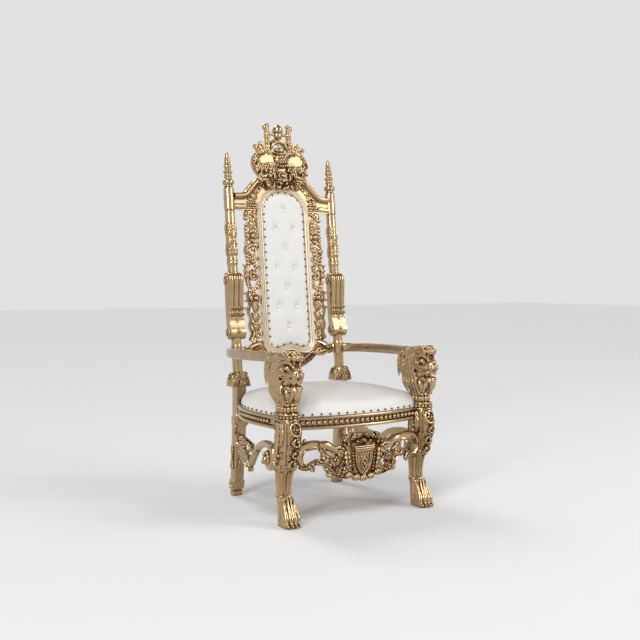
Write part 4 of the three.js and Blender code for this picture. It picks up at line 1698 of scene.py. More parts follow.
@dataclass
class Seat:
    """The seat: bowed rails with beads, the domed cushion and its nails.

    Attributes:
        front: Middle line of the front rail in plan.
        side: Middle line of the right-hand rail.
        front_beads, side_beads: Beads on each.
        middle: Middle of the cushion in plan.
        nail_pitch: Least distance from one nail head to the next.
    """

    front: tuple = ((-318, -318), (-160, -356), (0, -370), (160, -356), (318, -318))
    side: tuple = ((366, -262), (378, -130), (380, -20), (358, 90), (312, 190), (262, 262))
    front_beads: int = 24
    side_beads: int = 21
    middle: tuple = (0.0, -50.0)
    nail_pitch: float = 33.0

    def rail(self, line: Points, beads: int, start: float, end: float) -> list[Shell]:
        """A rail: its moulded section carried along the line, and beads in its hollow.

        Args:
            line: Knots in plan, with the seat on the left.
            beads: How many beads.
            start, end: Where the beads begin and stop, as shares of the line.

        Returns:
            The rail and its beads.
        """
        path = plan_line(line, 90)
        path[:, 2] = RAIL_TOP - RAIL_DEEP
        rise = np.array([0, 0, 3, 7, 11, 13.5, 15, 17, 38, 40, 41.5, 44, 48, 52, 55, 55])
        reach = np.array([-14, 9, 12.5, 14, 12.5, 10, 6, 0, 0, 6, 10, 12.5, 14, 12.5, 9, -14])
        at = np.linspace(start, end, beads) * (len(path) - 1)
        across = np.cross(np.gradient(path, axis=0), UPWARD)
        across /= np.linalg.norm(across, axis=1, keepdims=True)
        hollow = path + across * 4
        spots = np.stack([np.interp(at, np.arange(len(path)), column) for column in hollow.T], axis=1)
        return [
            sweep(path, reach, rise, UPWARD),
            *(egg(x, y, z + 27.5, 9.2, 9.2, 9.6, 16) for x, y, z in spots),
        ]

    def cushion(self) -> Shell:
        """The cushion: plan rings shrinking to the middle, lifted on a domed profile.

        Returns:
            The closed shell.
        """
        rim = self.rim(0)
        share = np.concatenate([np.linspace(1, 0.9, 12), np.linspace(0.885, 0.02, 44)])[:, None, None]
        middle = np.array(self.middle)
        grid = middle + (rim - middle) * share
        s = 1 - share[..., 0]
        lift = 44 * (1 - np.exp(-s / 0.028)) + (SEAT_CROWN - RAIL_TOP - 46) * (1 - (1 - s) ** 2.4)
        rings = np.concatenate(
            [grid, np.broadcast_to((RAIL_TOP + 2 + lift)[..., None], grid.shape[:2] + (1,))], axis=-1
        )
        foot = rings[:1].copy()
        foot[..., 2] = RAIL_TOP + 0.4
        return skin(np.concatenate([foot, rings]))

    def rim(self, inset: float) -> np.ndarray:
        """The cushion's outline in plan, with eased corners.

        Args:
            inset: How far it is drawn in.

        Returns:
            Points (300, 2), once round.
        """
        front = plan_line([(x, y - 4) for x, y in self.front], 70)[:, :2]
        right = plan_line(self.side[:-1], 60)[:, :2]
        back = np.stack([np.linspace(240, -240, 50), np.full(50, 236.0)], axis=1)
        left = (right * [-1, 1])[::-1]
        ring = spaced(np.vstack([front, right, back, left]), 300, closed=True)
        for _ in range(6):
            ring = 0.5 * ring + 0.25 * (np.roll(ring, 1, 0) + np.roll(ring, -1, 0))
        middle = np.array(self.middle)
        far = np.linalg.norm(ring - middle, axis=1, keepdims=True)
        return middle + (ring - middle) * (1 - inset / far)

    def nails(self) -> list[Shell]:
        """Nail heads along the front and the sides of the cushion.

        Returns:
            The shells.
        """
        ring = self.rim(-0.5)
        made = []
        reach = 0.0
        for p, q in zip(ring, np.roll(ring, -1, 0)):
            reach += float(np.linalg.norm(q - p))
            if reach < self.nail_pitch:
                continue
            reach = 0.0
            by_leg = abs(abs(q[0]) - LEG_X) < 52 and q[1] < -235
            if q[1] < 228 and not by_leg:
                made.append(egg(q[0], q[1], RAIL_TOP + 8, 4.4, 4.4, 4.2, 12))
        return made

    def build(self, shop: Workshop) -> None:
        """Makes the rails, the cushion and the nails.

        Args:
            shop: The workshop that makes its pieces.
        """
        f = shop.finishes
        shop.make(
            "rail_front", self.rail(self.front, self.front_beads, 0.05, 0.95), f.gilt,
            replaces=["front_rail"],
        )
        shop.pair("rail", self.rail(self.side, self.side_beads, 0.12, 0.93), f.gilt, "side_rail")
        back = slab([(-252, 400), (252, 400), (252, RAIL_TOP), (-252, RAIL_TOP)], 246, 24, 3)
        shop.make("rail_rear", [back], f.satin, replaces=["rear_rail"])
        pad = shop.make("cushion", [self.cushion()], f.hide, ["seat_cushion"])
        shop.make("seat_nails", self.nails(), f.nail)


@dataclass
class Arms:
    """The plain bowed arms.

    Attributes:
        line: Middle line of the right-hand arm, from the post to the lion's head.
        half: Half width.
        rise: Half height.
    """

    line: tuple = (
        (298, 292, 684), (330, 262, 687), (362, 180, 690), (374, 60, 693), (368, -70, 696), (350, -215, 699)
    )
    half: float = 19.0
    rise: float = 22.0

    def build(self, shop: Workshop) -> None:
        """Makes both arms: a rounded-square section carried along the line.

        Args:
            shop: The workshop that makes its pieces.
        """
        path = smooth(self.line, 80)
        a = np.linspace(0, 2 * np.pi, 32, endpoint=False)
        across = self.half * squarish(np.cos(a), 0.5)
        right = sweep(path, across, self.rise * squarish(np.sin(a), 0.5), UPWARD)
        shop.pair("arm_rest", [right], shop.finishes.satin, "arm")


# --- Front legs ---


@dataclass
class LionLeg:
    """A front leg: paw, fluted shank, flowered knee, beaded collar and a roaring lion's head.

    Attributes:
        sections: Height, middle in Y, half width and half depth of the leg.
        voxel: Grain at which the forms of the head are melted into one, in metres.
    """

    sections: tuple = (
        (0, -308, 34, 40), (12, -308, 35, 41), (60, -302, 34, 39), (92, -293, 31, 35),
        (122, -282, 30, 32), (165, -280, 31, 32), (205, -283, 35, 37), (262, -299, 41, 51),
        (345, -319, 42, 64), (400, -322, 41, 63), (448, -313, 41, 56), (472, -303, 37, 48),
        (520, -298, 34, 44), (600, -296, 42, 56), (690, -290, 40, 60),
    )
    voxel: float = 0.0026

    def body(self) -> Shell:
        """The leg in squarish rings, with eight hollow flutes down the shank that have raised rims.

        Returns:
            The closed shell.
        """
        rows = np.array(self.sections, float)
        z = np.concatenate([np.arange(0, 105, 5.0), np.arange(105, 250, 2.5), np.arange(250, 561, 5.0)])
        y, hx, hy = (np.interp(z, rows[:, 0], rows[:, k])[:, None] for k in (1, 2, 3))
        for arr in (y, hx, hy):
            arr[1:-1] = 0.25 * arr[:-2] + 0.5 * arr[1:-1] + 0.25 * arr[2:]
        a = np.linspace(0, 2 * np.pi, 128, endpoint=False)[None, :]
        hollow = np.abs(np.cos(4 * a)) ** 0.6
        end = 116 + 17 * (1 - hollow)
        deep = np.clip((z[:, None] - end) / 5, 0, 1) * np.clip((238 - z[:, None]) / 16, 0, 1)
        rim = 0.05 * np.exp(-(((z[:, None] - end + 3) / 5) ** 2))
        cut = 1 - 0.30 * deep * hollow + rim
        x = hx * cut * squarish(np.cos(a), 0.8)
        return skin(np.stack([x, y + hy * cut * squarish(np.sin(a), 0.8), z[:, None] + 0 * a], axis=-1))

    def paw(self) -> list[Shell]:
        """Four toes, each a tendon that swells to a knuckle and a pad, with a claw before it.

        Returns:
            The shells.
        """
        made = []
        for k in (-1.5, -0.5, 0.5, 1.5):
            x, back = 18 * k, 3.4 * k * k
            line = [
                (0.74 * x, -322, 122),
                (0.84 * x, -334 + back, 92),
                (0.95 * x, -352 + back, 60),
                (x, -362 + back, 34),
                (x, -360 + back, 12),
            ]
            made += [
                tube(smooth(line, 34), [3.6, 5, 10, 11.5, 9]), egg(x, -376 + back, 12, 5, 8, 8, 14),
                egg(x, -354 + back, 17, 10.5, 22, 17, 18),
            ]
        heel = [
            tube(smooth([(s * 28, -296, 112), (s * 31, -304, 66), (s * 34, -308, 24)], 20), [3, 6, 8])
            for s in (-1, 1)
        ]
        return made + heel

    def on_face(self, p: np.ndarray, flank: bool = False) -> np.ndarray:
        """Wraps flat carving round the leg: its X runs across the face and its Y is height over the surface.

        The surface is a squarish oval, |x / half width|^2.5 + |y / half depth|^2.5 = 1 at each height.

        Args:
            p: Points (n, 3) of the carving.
            flank: Wraps it on the +X side and not on the front.

        Returns:
            The points in the leg's place.
        """
        rows = np.array(self.sections, float)
        middle, wide, deep = (np.interp(p[:, 2], rows[:, 0], rows[:, k]) for k in (1, 2, 3))
        across, reach = (deep, wide) if flank else (wide, deep)
        share = np.clip(np.abs(p[:, 0]) / across, 0, 0.97)
        out = reach * (1 - share**2.5) ** 0.4 - p[:, 1] - 1
        return np.stack(
            [out, middle + p[:, 0], p[:, 2]] if flank else [p[:, 0], middle - out, p[:, 2]], axis=1
        )

    def knee(self) -> list[Shell]:
        """A ringed medallion, three scrolled flowers, ribs at both corners and reeds down the shank.

        Returns:
            The shells.
        """
        oval = [sweep(ellipse(0, 414, 23, 27, -7), *rod(5), loop=True), rosette(0, 414, 16, 6, 10, 8, -3)]
        oval += [scroll([(-22, 446), (0, 452), (22, 446)], [5, 7, 5], 12, section=Section.ROUND)]
        chain = []
        for z, r, start, turn in ((358, 20, 100, -340), (308, 21, 80, 340), (262, 22, 100, -340)):
            chain += curl(-1, z, r, 8, start, turn, [5, 6.5, 6, 5], 20, 10, Section.ROUND, eye=8.5)
            chain += [leaf(s * 12, z + 24, 26, 90 - 48 * s, 8, 0, 2, 11) for s in (-1, 1)]
        ribs = [
            scroll(
                [(x, 440), (x + 1, 380), (x, 320), (x - 5, 268), (x - 9, 246)],
                [2.6, 3.4, 3.4, 3, 2],
                8,
                5,
                Section.ROUND,
                50,
            )
            for x in (27, 36)
        ]
        down = [(14, 2, 244), (13, 3, 190), (12, 3, 150), (8, 2, 128)]
        loop = [(-x, y, z) for x, y, z in down] + [(0, 1, 121)] + down[::-1]
        reeds = [
            tube(smooth(loop, 90), [3.4, 3.4]),
            tube(smooth([(0, 8, 244), (0, 9, 190), (0, 9, 140)], 40), [3, 3, 2.4]),
        ]
        tips = [leaf(x, 262, 32 - 0.4 * abs(x), -90 + 0.8 * x, 9, 0, 2, 10, 8, 3) for x in (-24, -8, 8, 24)]
        face = [s.mapped(self.on_face) for s in oval + chain + both(ribs) + reeds + tips]
        return face + self.collar() + self.flanks()

    def flanks(self) -> list[Shell]:
        """A long acanthus down each flank from the collar to the shank, with a scroll behind it.

        Returns:
            The shells.
        """
        flat = [
            scroll([(34, 446), (42, 400), (40, 350), (26, 300), (10, 272)], [6, 9, 10, 9, 6], 11, 12, n=56),
            leaf(6, 440, 150, -90, 20, 6, 5, 11, 12, 3), leaf(-22, 436, 100, -86, 13, -5, 4, 10, 12, 3),
            leaf(28, 330, 70, -116, 13, 5, 3, 11, 12, 3),
            *curl(
                4, 276, 17, 7, 100, -320, [6, 8, 6], 13, 12, eye=7
            ), *curl(-22, 300, 13, 6, 60, 300, [5, 7, 5], 12, 12, eye=6),
            *(leaf(y, 258, 30, -90 + 0.5 * y, 9, 0, 2, 9, 9, 3) for y in (-18, 0, 18)),
            *(
                tube(smooth([(y, 5, 244), (y, 5, 190), (0.9 * y + 2, 5, 128)], 40), [2.6, 2.8, 2.6])
                for y in (-14, 14)
            ),
        ]
        side = [f.mapped(lambda p: self.on_face(p, True)).outward() for f in flat]
        return both(side)

    @staticmethod
    def oval(wide: float, deep: float, z: float) -> np.ndarray:
        """Points round a squarish level oval about the leg's middle at the collar.

        Args:
            wide: Half width.
            deep: Half depth.
            z: Height.

        Returns:
            The points.
        """
        a = np.linspace(0, 2 * np.pi, 96, endpoint=False)
        x, y = wide * squarish(np.cos(a), 0.8), deep * squarish(np.sin(a), 0.8)
        return np.stack([x, y - 307, np.full(96, float(z))], axis=1)

    def collar(self) -> list[Shell]:
        """Two lips with a row of beads between them, and a gadrooned cup above.

        Returns:
            The shells.
        """
        lips = [
            sweep(self.oval(45, deep, z), *rod(4.5), out=UPWARD, loop=True)
            for deep, z in ((59, 449), (58, 471))
        ]
        beads = [egg(x, y, z, 7.2, 7.2, 7.4, 12) for x, y, z in self.oval(44, 58, 460)[::5]]
        cup = [egg(x, y, z, 8.5, 8.5, 16, 16) for x, y, z in self.oval(33, 44, 490)[::6]]
        return lips + beads + cup + [
            egg(x, y, z, 9.5, 9.5, 8, 16) for x, y, z in self.oval(31, 44, 511)[::8]
        ]

    @staticmethod
    def face(s: int) -> list[Shell]:
        """One half of the face: cheek, eye, muzzle, brow, lid, fold, lip and teeth.

        Args:
            s: 1 for the half at +X and -1 for the other.

        Returns:
            The shells.
        """
        made = [
            egg(s * 25, -352, 664, 15, 20, 14, 24, s * -14),
            egg(s * 13, -402, 630, 13.5, 17, 10, 20),
            egg(s * 12, -416, 634, 8, 9, 7.5, 16),
            egg(s * 21, -404, 640, 8, 9, 7, 16),
            egg(s * 26, -352, 634, 13, 26, 9, 20),
            egg(s * 36, -322, 640, 11, 22, 20, 20),
            egg(s * 24, -392, 584, 6, 8, 7, 12),
            egg(s * 29, -362, 588, 6, 16, 6, 14),
        ]
        upward = np.array([0, -0.3, 1.0])
        brow = [(5, -400, 656), (15, -386, 674), (28, -368, 689), (42, -340, 682), (49, -310, 660)]
        lid = [(10, -398, 651), (25, -390, 643), (42, -356, 641), (49, -312, 656)]
        fold = [(16, -400, 642), (31, -386, 632), (46, -350, 629), (49, -314, 640)]
        for line, widths in ((brow, [5, 7, 7, 5]), (lid, [4, 5.5, 5, 4]), (fold, [3, 4.2, 4, 3])):
            made.append(tube(smooth([(s * x, y, z) for x, y, z in line], 40), widths, upward))
        lip = [(4, -404, 618), (20, -400, 618), (33, -376, 620), (40, -346, 616), (40, -328, 600)]
        lip += [(36, -340, 586), (30, -368, 576), (18, -398, 573), (3, -406, 572)]
        lip = smooth([(s * x, y, z) for x, y, z in lip], 60)
        made.append(sweep(lip, *rod(5.6), out=np.array([0.3, -1.0, 0.2])))
        for x, y, above, below in ((5, -404, 8, 7), (14, -402, 12, 7), (23, -393, 8, 11), (30, -378, 8, 7)):
            made.append(egg(s * x, y, 611, 4.2, 4.5, above, 12))
            made.append(egg(s * x * 0.92, y + 4, 585, 4, 4.2, below, 12))
        return made

    def mane(self, s: int) -> list[Shell]:
        """One half of the mane: curls over the brow, locks down the side, and a curl on the chest.

        Args:
            s: 1 for the half at +X and -1 for the other.

        Returns:
            The shells.
        """
        made = []
        for k in range(2):
            made.append(egg(s * (9.5 + 19 * k), -384 + 9 * k * k, 705, 9.6, 13, 15, 18, -s * 10))
            made.append(egg(s * (9 + 18 * k), -354 + 6 * k, 723, 9.8, 24, 10.5, 18))
        for k in range(5):
            y = -338 + 26 * k
            start = (s * (12 + 8 * k), y, 724 - 5 * k)
            over = (s * (30 + 5 * k), y + 18, 712 - 10 * k)
            line = [start, over, (s * 47, y + 26, 682 - 14 * k), (s * 45, y + 20, 652 - 18 * k)]
            made.append(self.lock(smooth(line, 26), 9, 5.5))
        for k in range(5):
            y = -330 + 22 * k
            line = [
                (s * 40, y, 664 - 4 * k), (s * 49, y + 10, 628), (s * 43, y + 2, 590), (s * 46, y - 8, 556)
            ]
            made.append(self.lock(smooth([*line, (s * (36 - 2 * k), y - 22, 512)], 40), 10, 6))
        chest = curl(s * 20, 520, 15, 6, 90, -s * 330, [5, 6, 5], 9, 10, eye=6)
        return made + [f.moved(y=-346) for f in chest]

    def head(self) -> list[Shell]:
        """The lion's head, facing -Y: skull, jaws, both halves of the face and mane, and the beard.

        Returns:
            The shells, which overlap.
        """
        made = [
            egg(0, -292, 664, 45, 82, 58, 36),
            egg(0, -300, 704, 43, 86, 24, 32),
            egg(0, -374, 648, 30, 42, 21, 30),
            egg(0, -384, 662, 17, 40, 14, 24),
            egg(0, -412, 642, 17, 13, 10, 20),
            egg(0, -374, 579, 27, 36, 8, 26),
            egg(0, -394, 577, 22, 17, 9, 22),
            egg(0, -314, 592, 33, 26, 32, 24),
            egg(0, -370, 592, 12, 30, 4, 20),
            egg(0, -310, 554, 33, 38, 40, 28),
            egg(0, -292, 606, 41, 56, 92, 30),
        ]
        for s in (-1, 1):
            made += self.face(s) + self.mane(s)
        for x, wide, tip in ((0, 11, 516), (-9, 6, 534), (9, 6, 534)):
            line = [(x, -402, 578), (x, -402, 558), (x * 0.8, -394, 538), (x * 0.4, -376, tip)]
            made.append(self.lock(smooth(line, 26), wide, 8))
        back = [
            egg(s * x, -224 + 0.006 * x * x, 712 - 1.1 * x, 11, 16, 13, 16)
            for x in (8, 26, 40)
            for s in (-1, 1)
        ]
        back += [egg(s * 44, -214, z, 9, 15, 12, 14) for z in (660, 636, 612) for s in (-1, 1)]
        return made + back

    @staticmethod
    def lock(path: np.ndarray, wide: float, thick: float) -> Shell:
        """A lock of hair: a grooved oval section that tapers along its path.

        Args:
            path: Points (n, 3).
            wide, thick: Its half sizes.

        Returns:
            The closed shell.
        """
        a = np.linspace(0, 2 * np.pi, 20, endpoint=False)
        t = np.linspace(0, 1, len(path))[:, None]
        taper = np.sqrt(np.clip(1 - (1.6 * t - 0.62) ** 2, 0.03, 1))
        groove = 1 - 0.16 * np.cos(3 * a) ** 2
        lean = path[:, 0].mean()
        out = np.array([0.98, -0.1, 0.1]) * np.sign(lean) if abs(lean) > 12 else FRONT
        return sweep(path, wide * taper * np.cos(a) * groove, thick * taper * np.sin(a) * groove, out=out)

    @staticmethod
    def on_floor(p: np.ndarray) -> np.ndarray:
        """Moves a form from the middle to the leg's place, with nothing below the floor."""
        return np.stack([p[:, 0] + LEG_X, p[:, 1], np.maximum(p[:, 2], 0)], axis=1)

    def build(self, shop: Workshop) -> None:
        """Makes both legs: the head melted into one, and the rest crisp.

        Args:
            shop: The workshop that makes its pieces.
        """
        head = [s.mapped(self.on_floor) for s in self.head()]
        rest = [s.mapped(self.on_floor) for s in (self.body(), *self.paw(), *self.knee())]
        for name, flip in (("right", False), ("left", True)):
            melted, crisp = ([s.mirrored() if flip else s for s in made] for made in (head, rest))
            shop.make(
                f"lion_leg_{name}",
                melted,
                shop.finishes.gilt,
                replaces=[f"front_leg_{name}"],
                fused=self.voxel,
                crisp=crisp,
            )


# --- Aprons ---


@dataclass
class FrontApron:
    """The slightly bowed front apron: a shield among scrolls, leaves and flowers.

    Attributes:
        ends: Y of its ends.
        bow: How far its middle stands in front of them.
        edge: The shield's right-hand edge, down to its foot.
    """

    ends: float = -332.0
    bow: float = 18.0
    edge: Points = ((42, 297), (41, 258), (32, 226), (17, 203), (0, 190))

    def bend(self, p: np.ndarray) -> np.ndarray:
        """Moves flat carving forwards by a cosine of X."""
        x = np.minimum(np.abs(p[:, 0]), 300)
        return np.stack(
            [p[:, 0], p[:, 1] + self.ends - self.bow * np.cos(np.pi * x / 600), p[:, 2]], axis=1
        )

    def band(self) -> list[Shell]:
        """The arch over the gap beside a leg, its hooked lower scroll and the leaves over their ends."""
        return [
            scroll([(266, 244), (290, 256), (300, 290), (284, 322), (246, 333), (206, 330), (180, 312)],
                   [8, 13, 17, 20, 21, 19, 13], 16, n=72),
            scroll(
                [(214, 330), (182, 329), (148, 312), (112, 282)], [15, 20, 18, 7], 24, 8, Section.ROUND, 40
            ),
            leaf(206, 322, 66, 222, 15, 6, 3, 18),
            scroll([(320, 330), (304, 344), (288, 346)], [9, 10, 7], 13),
            egg(280, -8, 355, 9, 10, 9, 14),
            scroll(
                [(300, 243), (268, 239), (244, 252), (222, 260), (194, 258)], [9, 11, 11, 12, 11], 15, n=50
            ),
            leaf(258, 256, 40, -118, 13, -6, 2, 15),
            leaf(226, 268, 44, 196, 13, 6, 3, 17),
            egg(246, -6, 230, 8, 9, 8, 14),
        ]

    def swirl(self) -> list[Shell]:
        """The broad C-scroll with two ringed flowers, and the leaves round it."""
        return [
            scroll(
                [(188, 310), (184, 266), (162, 222), (120, 200), (64, 187)], [11, 15, 17, 17, 14], 18, n=64
            ),
            egg(166, -8, 200, 15, 12, 10, 18, 30),
            *(s.moved(y=-6) for s in curl(132, 266, 27, 10, 30, -320, [9, 11, 10, 8], 18)),
            *(s.moved(y=-6) for s in curl(128, 222, 24, 9, 200, 320, [8, 10, 9, 7], 18)),
            rosette(132, 266, 16, 5, 10, 6, -14),
            rosette(128, 221, 14, 5, 10, 6, -14),
            leaf(188, 300, 60, -116, 17, 8, 4, 18),
            leaf(176, 238, 50, -140, 14, 6, 3, 17),
            leaf(150, 306, 60, 184, 15, -6, 3, 20),
            leaf(104, 302, 48, -76, 14, 5, 3, 18),
            leaf(96, 232, 44, -120, 13, -4, 3, 20),
            leaf(166, 214, 54, 200, 13, 5, 3, 17),
            *(
                egg(x, -10, z, 8, 10, 8, 14)
                for x, z in ((160, 244), (104, 254), (160, 286), (98, 208), (180, 264))
            ),
        ]

    def beside(self) -> list[Shell]:
        """The long leaf beside the shield, a string of berries, and the crown of scrolls over it."""
        return [
            scroll(
                [(100, 330), (88, 290), (76, 250), (52, 204)], [8, 13, 14, 9], 22, section=Section.RIDGE,
                n=50,
            ),
            leaf(86, 300, 100, -104, 15, 6, 5, 25),
            *(egg(57 - 0.06 * k * k - 1.5 * k, -16, 288 - 13 * k, 5.6, 8, 5.6, 12) for k in range(7)),
            leaf(78, 196, 34, 196, 11, 4, 2, 20),
            *curl(72, 332, 17, 7, -10, 310, [7, 9, 7], 22, eye=7),
            *curl(36, 340, 15, 6, 190, -310, [7, 8, 6], 24, eye=6),
            leaf(90, 334, 42, 128, 14, -5, 3, 20),
            leaf(58, 346, 42, 150, 12, -4, 3, 20),
            leaf(34, 352, 34, 160, 11, -3, 3, 20),
            scroll([(104, 322), (92, 342), (62, 358), (28, 363), (-3, 363)], [5, 8, 8, 7], 14),
            *(egg(96 - 17 * k, -14, 326 + 13 * k - 1.1 * k * k, 6.5, 9, 6.5, 12) for k in range(5)),
        ]

    def drops(self) -> list[Shell]:
        """Five ribbed shells along the foot.

        Returns:
            The shells.
        """
        made = []
        for x in (-74, -37, 0, 37, 74):
            z = 174 + 0.0034 * x * x
            made.append(egg(x, -7, z, 17, 17, 15, 22))
            for k in (-1, 0, 1):
                rib = [(x, -16, z + 14), (x + 11 * k, -23, z), (x + 8 * k, -14, z - 13)]
                made.append(tube(smooth(rib, 14), [3, 4, 3]))
        return made

    def outline(self, scale: float) -> list[tuple]:
        """The shield's outline, scaled about its middle.

        Args:
            scale: The scale.

        Returns:
            X and Z of its points, from the upper right round the foot to the upper left.
        """
        middle = 258
        right = [(x * scale, middle + (z - middle) * scale) for x, z in self.edge]
        return right + [(-x, z) for x, z in right[:-1][::-1]]

    def border(self, scale: float, proud: float, width: float) -> Shell:
        """A rounded line of that width that follows the outline."""
        line = smooth([(x, -proud, z) for x, z in self.outline(scale)], 60)
        return strap(line, [width, width], 6, 6, Section.ROUND)

    def shield(self) -> list[Shell]:
        """The shield: stepped borders, a lintel of three lines, a zigzag and a lozenge with a boss.

        Returns:
            The shells.
        """
        zigzag = smooth([(-24 + 8 * i, -22, 284 - 9 * (i % 2)) for i in range(7)], 60)
        corners = np.array(
            [(0, -24, 262), (17, -24, 240), (0, -24, 212), (-17, -24, 240), (0, -24, 262)], float
        )
        lintel = ((46, 293, 27), (49, 301, 30), (52, 309, 27))
        return [
            board(
                [(-100, 200), (-60, 186), (60, 186), (100, 200)],
                [(-100, 326), (-60, 356), (60, 356), (100, 326)], 2, 9, 3,
            ),
            board(self.outline(1)[::-1], [(-42, 297), (42, 297)], -18, 28, 3),
            self.border(0.95, 18, 4.4),
            self.border(0.76, 18, 3.4),
            *(board([(-w, z), (w, z)], [(-w, z + 7), (w, z + 7)], -y, 30, 2.5, 8) for w, z, y in lintel),
            tube(zigzag, [2.6, 2.6]),
            egg(0, -22, 238, 7, 8, 9, 16),
            *(tube(smooth(corners[i : i + 2], 14), [2.8, 3.2, 2.8]) for i in range(4)),
            *(egg(x, -22, z, 3.6, 6, 3.6, 10) for x, z in ((-18, 262), (18, 262), (-12, 218), (12, 218))),
            fan(0, 318, 34, 20, 160, 7, 22, 4),
        ]

    def build(self, shop: Workshop) -> None:
        """Makes the apron."""
        shells = both(self.band() + self.swirl() + self.beside()) + self.drops() + self.shield()
        shop.make(
            "apron_front", [s.mapped(self.bend) for s in shells], shop.finishes.gilt,
            replaces=["front_apron"],
        )


@dataclass
class SideApron:
    """The side aprons: an S-scroll from the front leg to carved leaves at the rear one.

    Attributes:
        x: Where the apron stands, at its middle.
        splay: How far it turns outwards, in degrees.
        hook, fall: The S-scroll round its front end, and down to its foot.
    """

    x: float = 336.0
    splay: float = 7.0
    hook: Points = ((-146, 240), (-168, 229), (-198, 228), (-236, 262), (-224, 308), (-150, 320))
    fall: Points = ((-72, 302), (-10, 258), (40, 208), (84, 184))

    def flat(self) -> list[Shell]:
        """The carving with its rear end at +X."""
        return [
            scroll([*self.hook, *self.fall], [11, 16, 18, 16, 16, 15, 13], 17, 10, Section.ROUND, 90),
            drop(-134, 250, 16, 18, 17),
            drop(-112, 236, 10, 11, 13),
            drop(-122, 272, 9, 11, 12),
            leaf(34, 196, 116, 139, 15, -8, 4, 12),
            leaf(-186, 238, 62, 78, 11, 8, 3, 15),
            *curl(200, 270, 36, 10, 200, -330, [9, 11, 9, 7], 14, eye=8),
            leaf(186, 284, 120, 181, 20, -6, 5, 15),
            leaf(196, 258, 150, 196, 26, 6, 5, 16),
            leaf(190, 236, 128, 204, 22, 6, 5, 15),
            leaf(120, 236, 92, 213, 20, 6, 4, 15),
            leaf(84, 286, 92, 190, 17, 8, 4, 15),
            scroll([(244, 300), (180, 300), (100, 293), (20, 284)], [9, 10, 8, 6], 10),
            scroll([(244, 232), (190, 220), (130, 194), (84, 178)], [12, 14, 12, 9], 11),
            *curl(56, 183, 19, 7, 40, -330, [7, 9, 6], 14, eye=6),
            *(drop(x, z, 9, 9, 14) for x, z in ((132, 262), (108, 240), (82, 226), (34, 262), (150, 208))),
        ]

    def stand(self, p: np.ndarray) -> np.ndarray:
        """Turns flat carving about Z so that it runs along the side of the seat.

        Args:
            p: Points (n, 3).

        Returns:
            The points.
        """
        a = math.pi / 2 + math.radians(self.splay)
        c, s = math.cos(a), math.sin(a)
        return np.stack([self.x + p[:, 0] * c - p[:, 1] * s, p[:, 0] * s + p[:, 1] * c, p[:, 2]], axis=1)

    def build(self, shop: Workshop) -> None:
        """Makes both side aprons."""
        shop.pair("apron", [s.mapped(self.stand) for s in self.flat()], shop.finishes.gilt, "side_apron")


# --- Stage ---


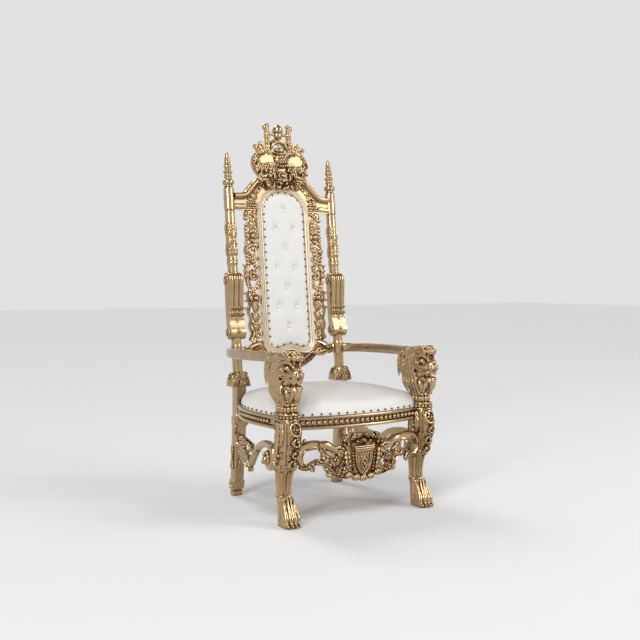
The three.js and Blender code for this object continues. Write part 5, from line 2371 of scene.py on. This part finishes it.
@dataclass(frozen=True)
class Studio:
    """Plain pale floor, soft light and the camera.

    Attributes:
        azimuth, elevation: Where the camera looks from, in degrees.
        place: The camera's place in metres.
        lens: Its focal length in millimetres on a 36 mm sensor.
    """

    azimuth: float = -31.13
    elevation: float = 2.39
    place: tuple = (-2.152, -3.567, 1.015)
    lens: float = 50.74

    def light(self, name: str, kind: str, place: tuple, power: float, size: float) -> None:
        """Adds a lamp that looks at the middle of the throne.

        Args:
            name: Its name.
            kind: SUN or AREA.
            place: Where it stands; of a sun only the direction counts.
            power: Strength of a sun or watts of an area lamp.
            size: Angle of a sun in degrees, or side of an area lamp in metres.
        """
        data = bpy.data.lights.new(name, kind)
        data.energy = power
        if kind == "SUN":
            data.angle = math.radians(size)
        else:
            data.size = size
        obj = bpy.data.objects.new(name, data)
        bpy.context.scene.collection.objects.link(obj)
        obj.location = place
        away = np.array(place) - np.array((0, 0, 0.9))
        obj.rotation_euler = (
            math.atan2(math.hypot(away[0], away[1]), away[2]), 0, math.atan2(away[0], -away[1])
        )

    def sky(self) -> None:
        """The world: pale round the horizon and dimmer overhead, by the height of the direction looked at."""
        world = bpy.data.worlds.new("studio")
        bpy.context.scene.world = world
        world.use_nodes = True
        tree = world.node_tree
        coords = tree.nodes.new("ShaderNodeTexCoord")
        split = tree.nodes.new("ShaderNodeSeparateXYZ")
        level = tree.nodes.new("ShaderNodeMapRange")
        for socket, value in (("From Min", 0.3), ("From Max", 0.62), ("To Min", 0.76), ("To Max", 0.22)):
            level.inputs[socket].default_value = value
        tree.links.new(coords.outputs["Generated"], split.inputs[0])
        tree.links.new(split.outputs["Z"], level.inputs["Value"])
        tree.links.new(level.outputs["Result"], tree.nodes["Background"].inputs["Color"])

    def build(self) -> None:
        """Makes the floor, the lights, the world and the camera."""
        bpy.context.scene.view_settings.view_transform = "Standard"
        bpy.ops.mesh.primitive_plane_add(size=60)
        floor = bpy.context.active_object
        floor.name = "floor"
        n = Nodes("pale floor")
        n.set(n.shader, {"Base Color": (0.7, 0.7, 0.7, 1), "Roughness": 0.9, "Specular IOR Level": 0.2})
        floor.data.materials.append(n.material)
        floor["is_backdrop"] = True
        self.sky()
        self.light("sun left", "SUN", (-2.4, -2.2, 4.6), 1.25, 24)
        self.light("sun right", "SUN", (2.6, -1.6, 3.6), 0.55, 20)
        self.light("sun back", "SUN", (-0.4, 2.6, 4.4), 0.9, 20)
        self.light("key", "AREA", (-6.5, -4.2, 3.9), 150, 0.9)
        self.light("rim", "AREA", (4.8, -5.2, 3.1), 66, 0.7)
        self.light("panel", "AREA", (3.4, -5.2, 4.6), 80, 3.0)
        data = bpy.data.cameras.new("camera")
        data.lens = self.lens
        data.sensor_width = 36
        camera = bpy.data.objects.new("camera", data)
        bpy.context.scene.collection.objects.link(camera)
        camera.location = self.place
        camera.rotation_euler = (math.radians(90 - self.elevation), 0, math.radians(self.azimuth))
        bpy.context.scene.camera = camera


def corners(box: Sequence) -> list[list[float]]:
    """A box's corners as plain lists."""
    return [[float(c) for c in corner] for corner in box]


def main() -> None:
    """Builds the throne and its studio."""
    logging.basicConfig(level=logging.INFO, format="%(message)s")
    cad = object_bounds()
    shop = Workshop(Finishes())
    back = (Panel(), SideStrip(), Crest(), LowerRail(), RearPost())
    for part in (*back, Seat(), Arms(), LionLeg(), FrontApron(), SideApron()):
        part.build(shop)
    Studio().build()
    {"cad": corners(cad), "visual": corners(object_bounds())}


if __name__ == "__main__":
    main()
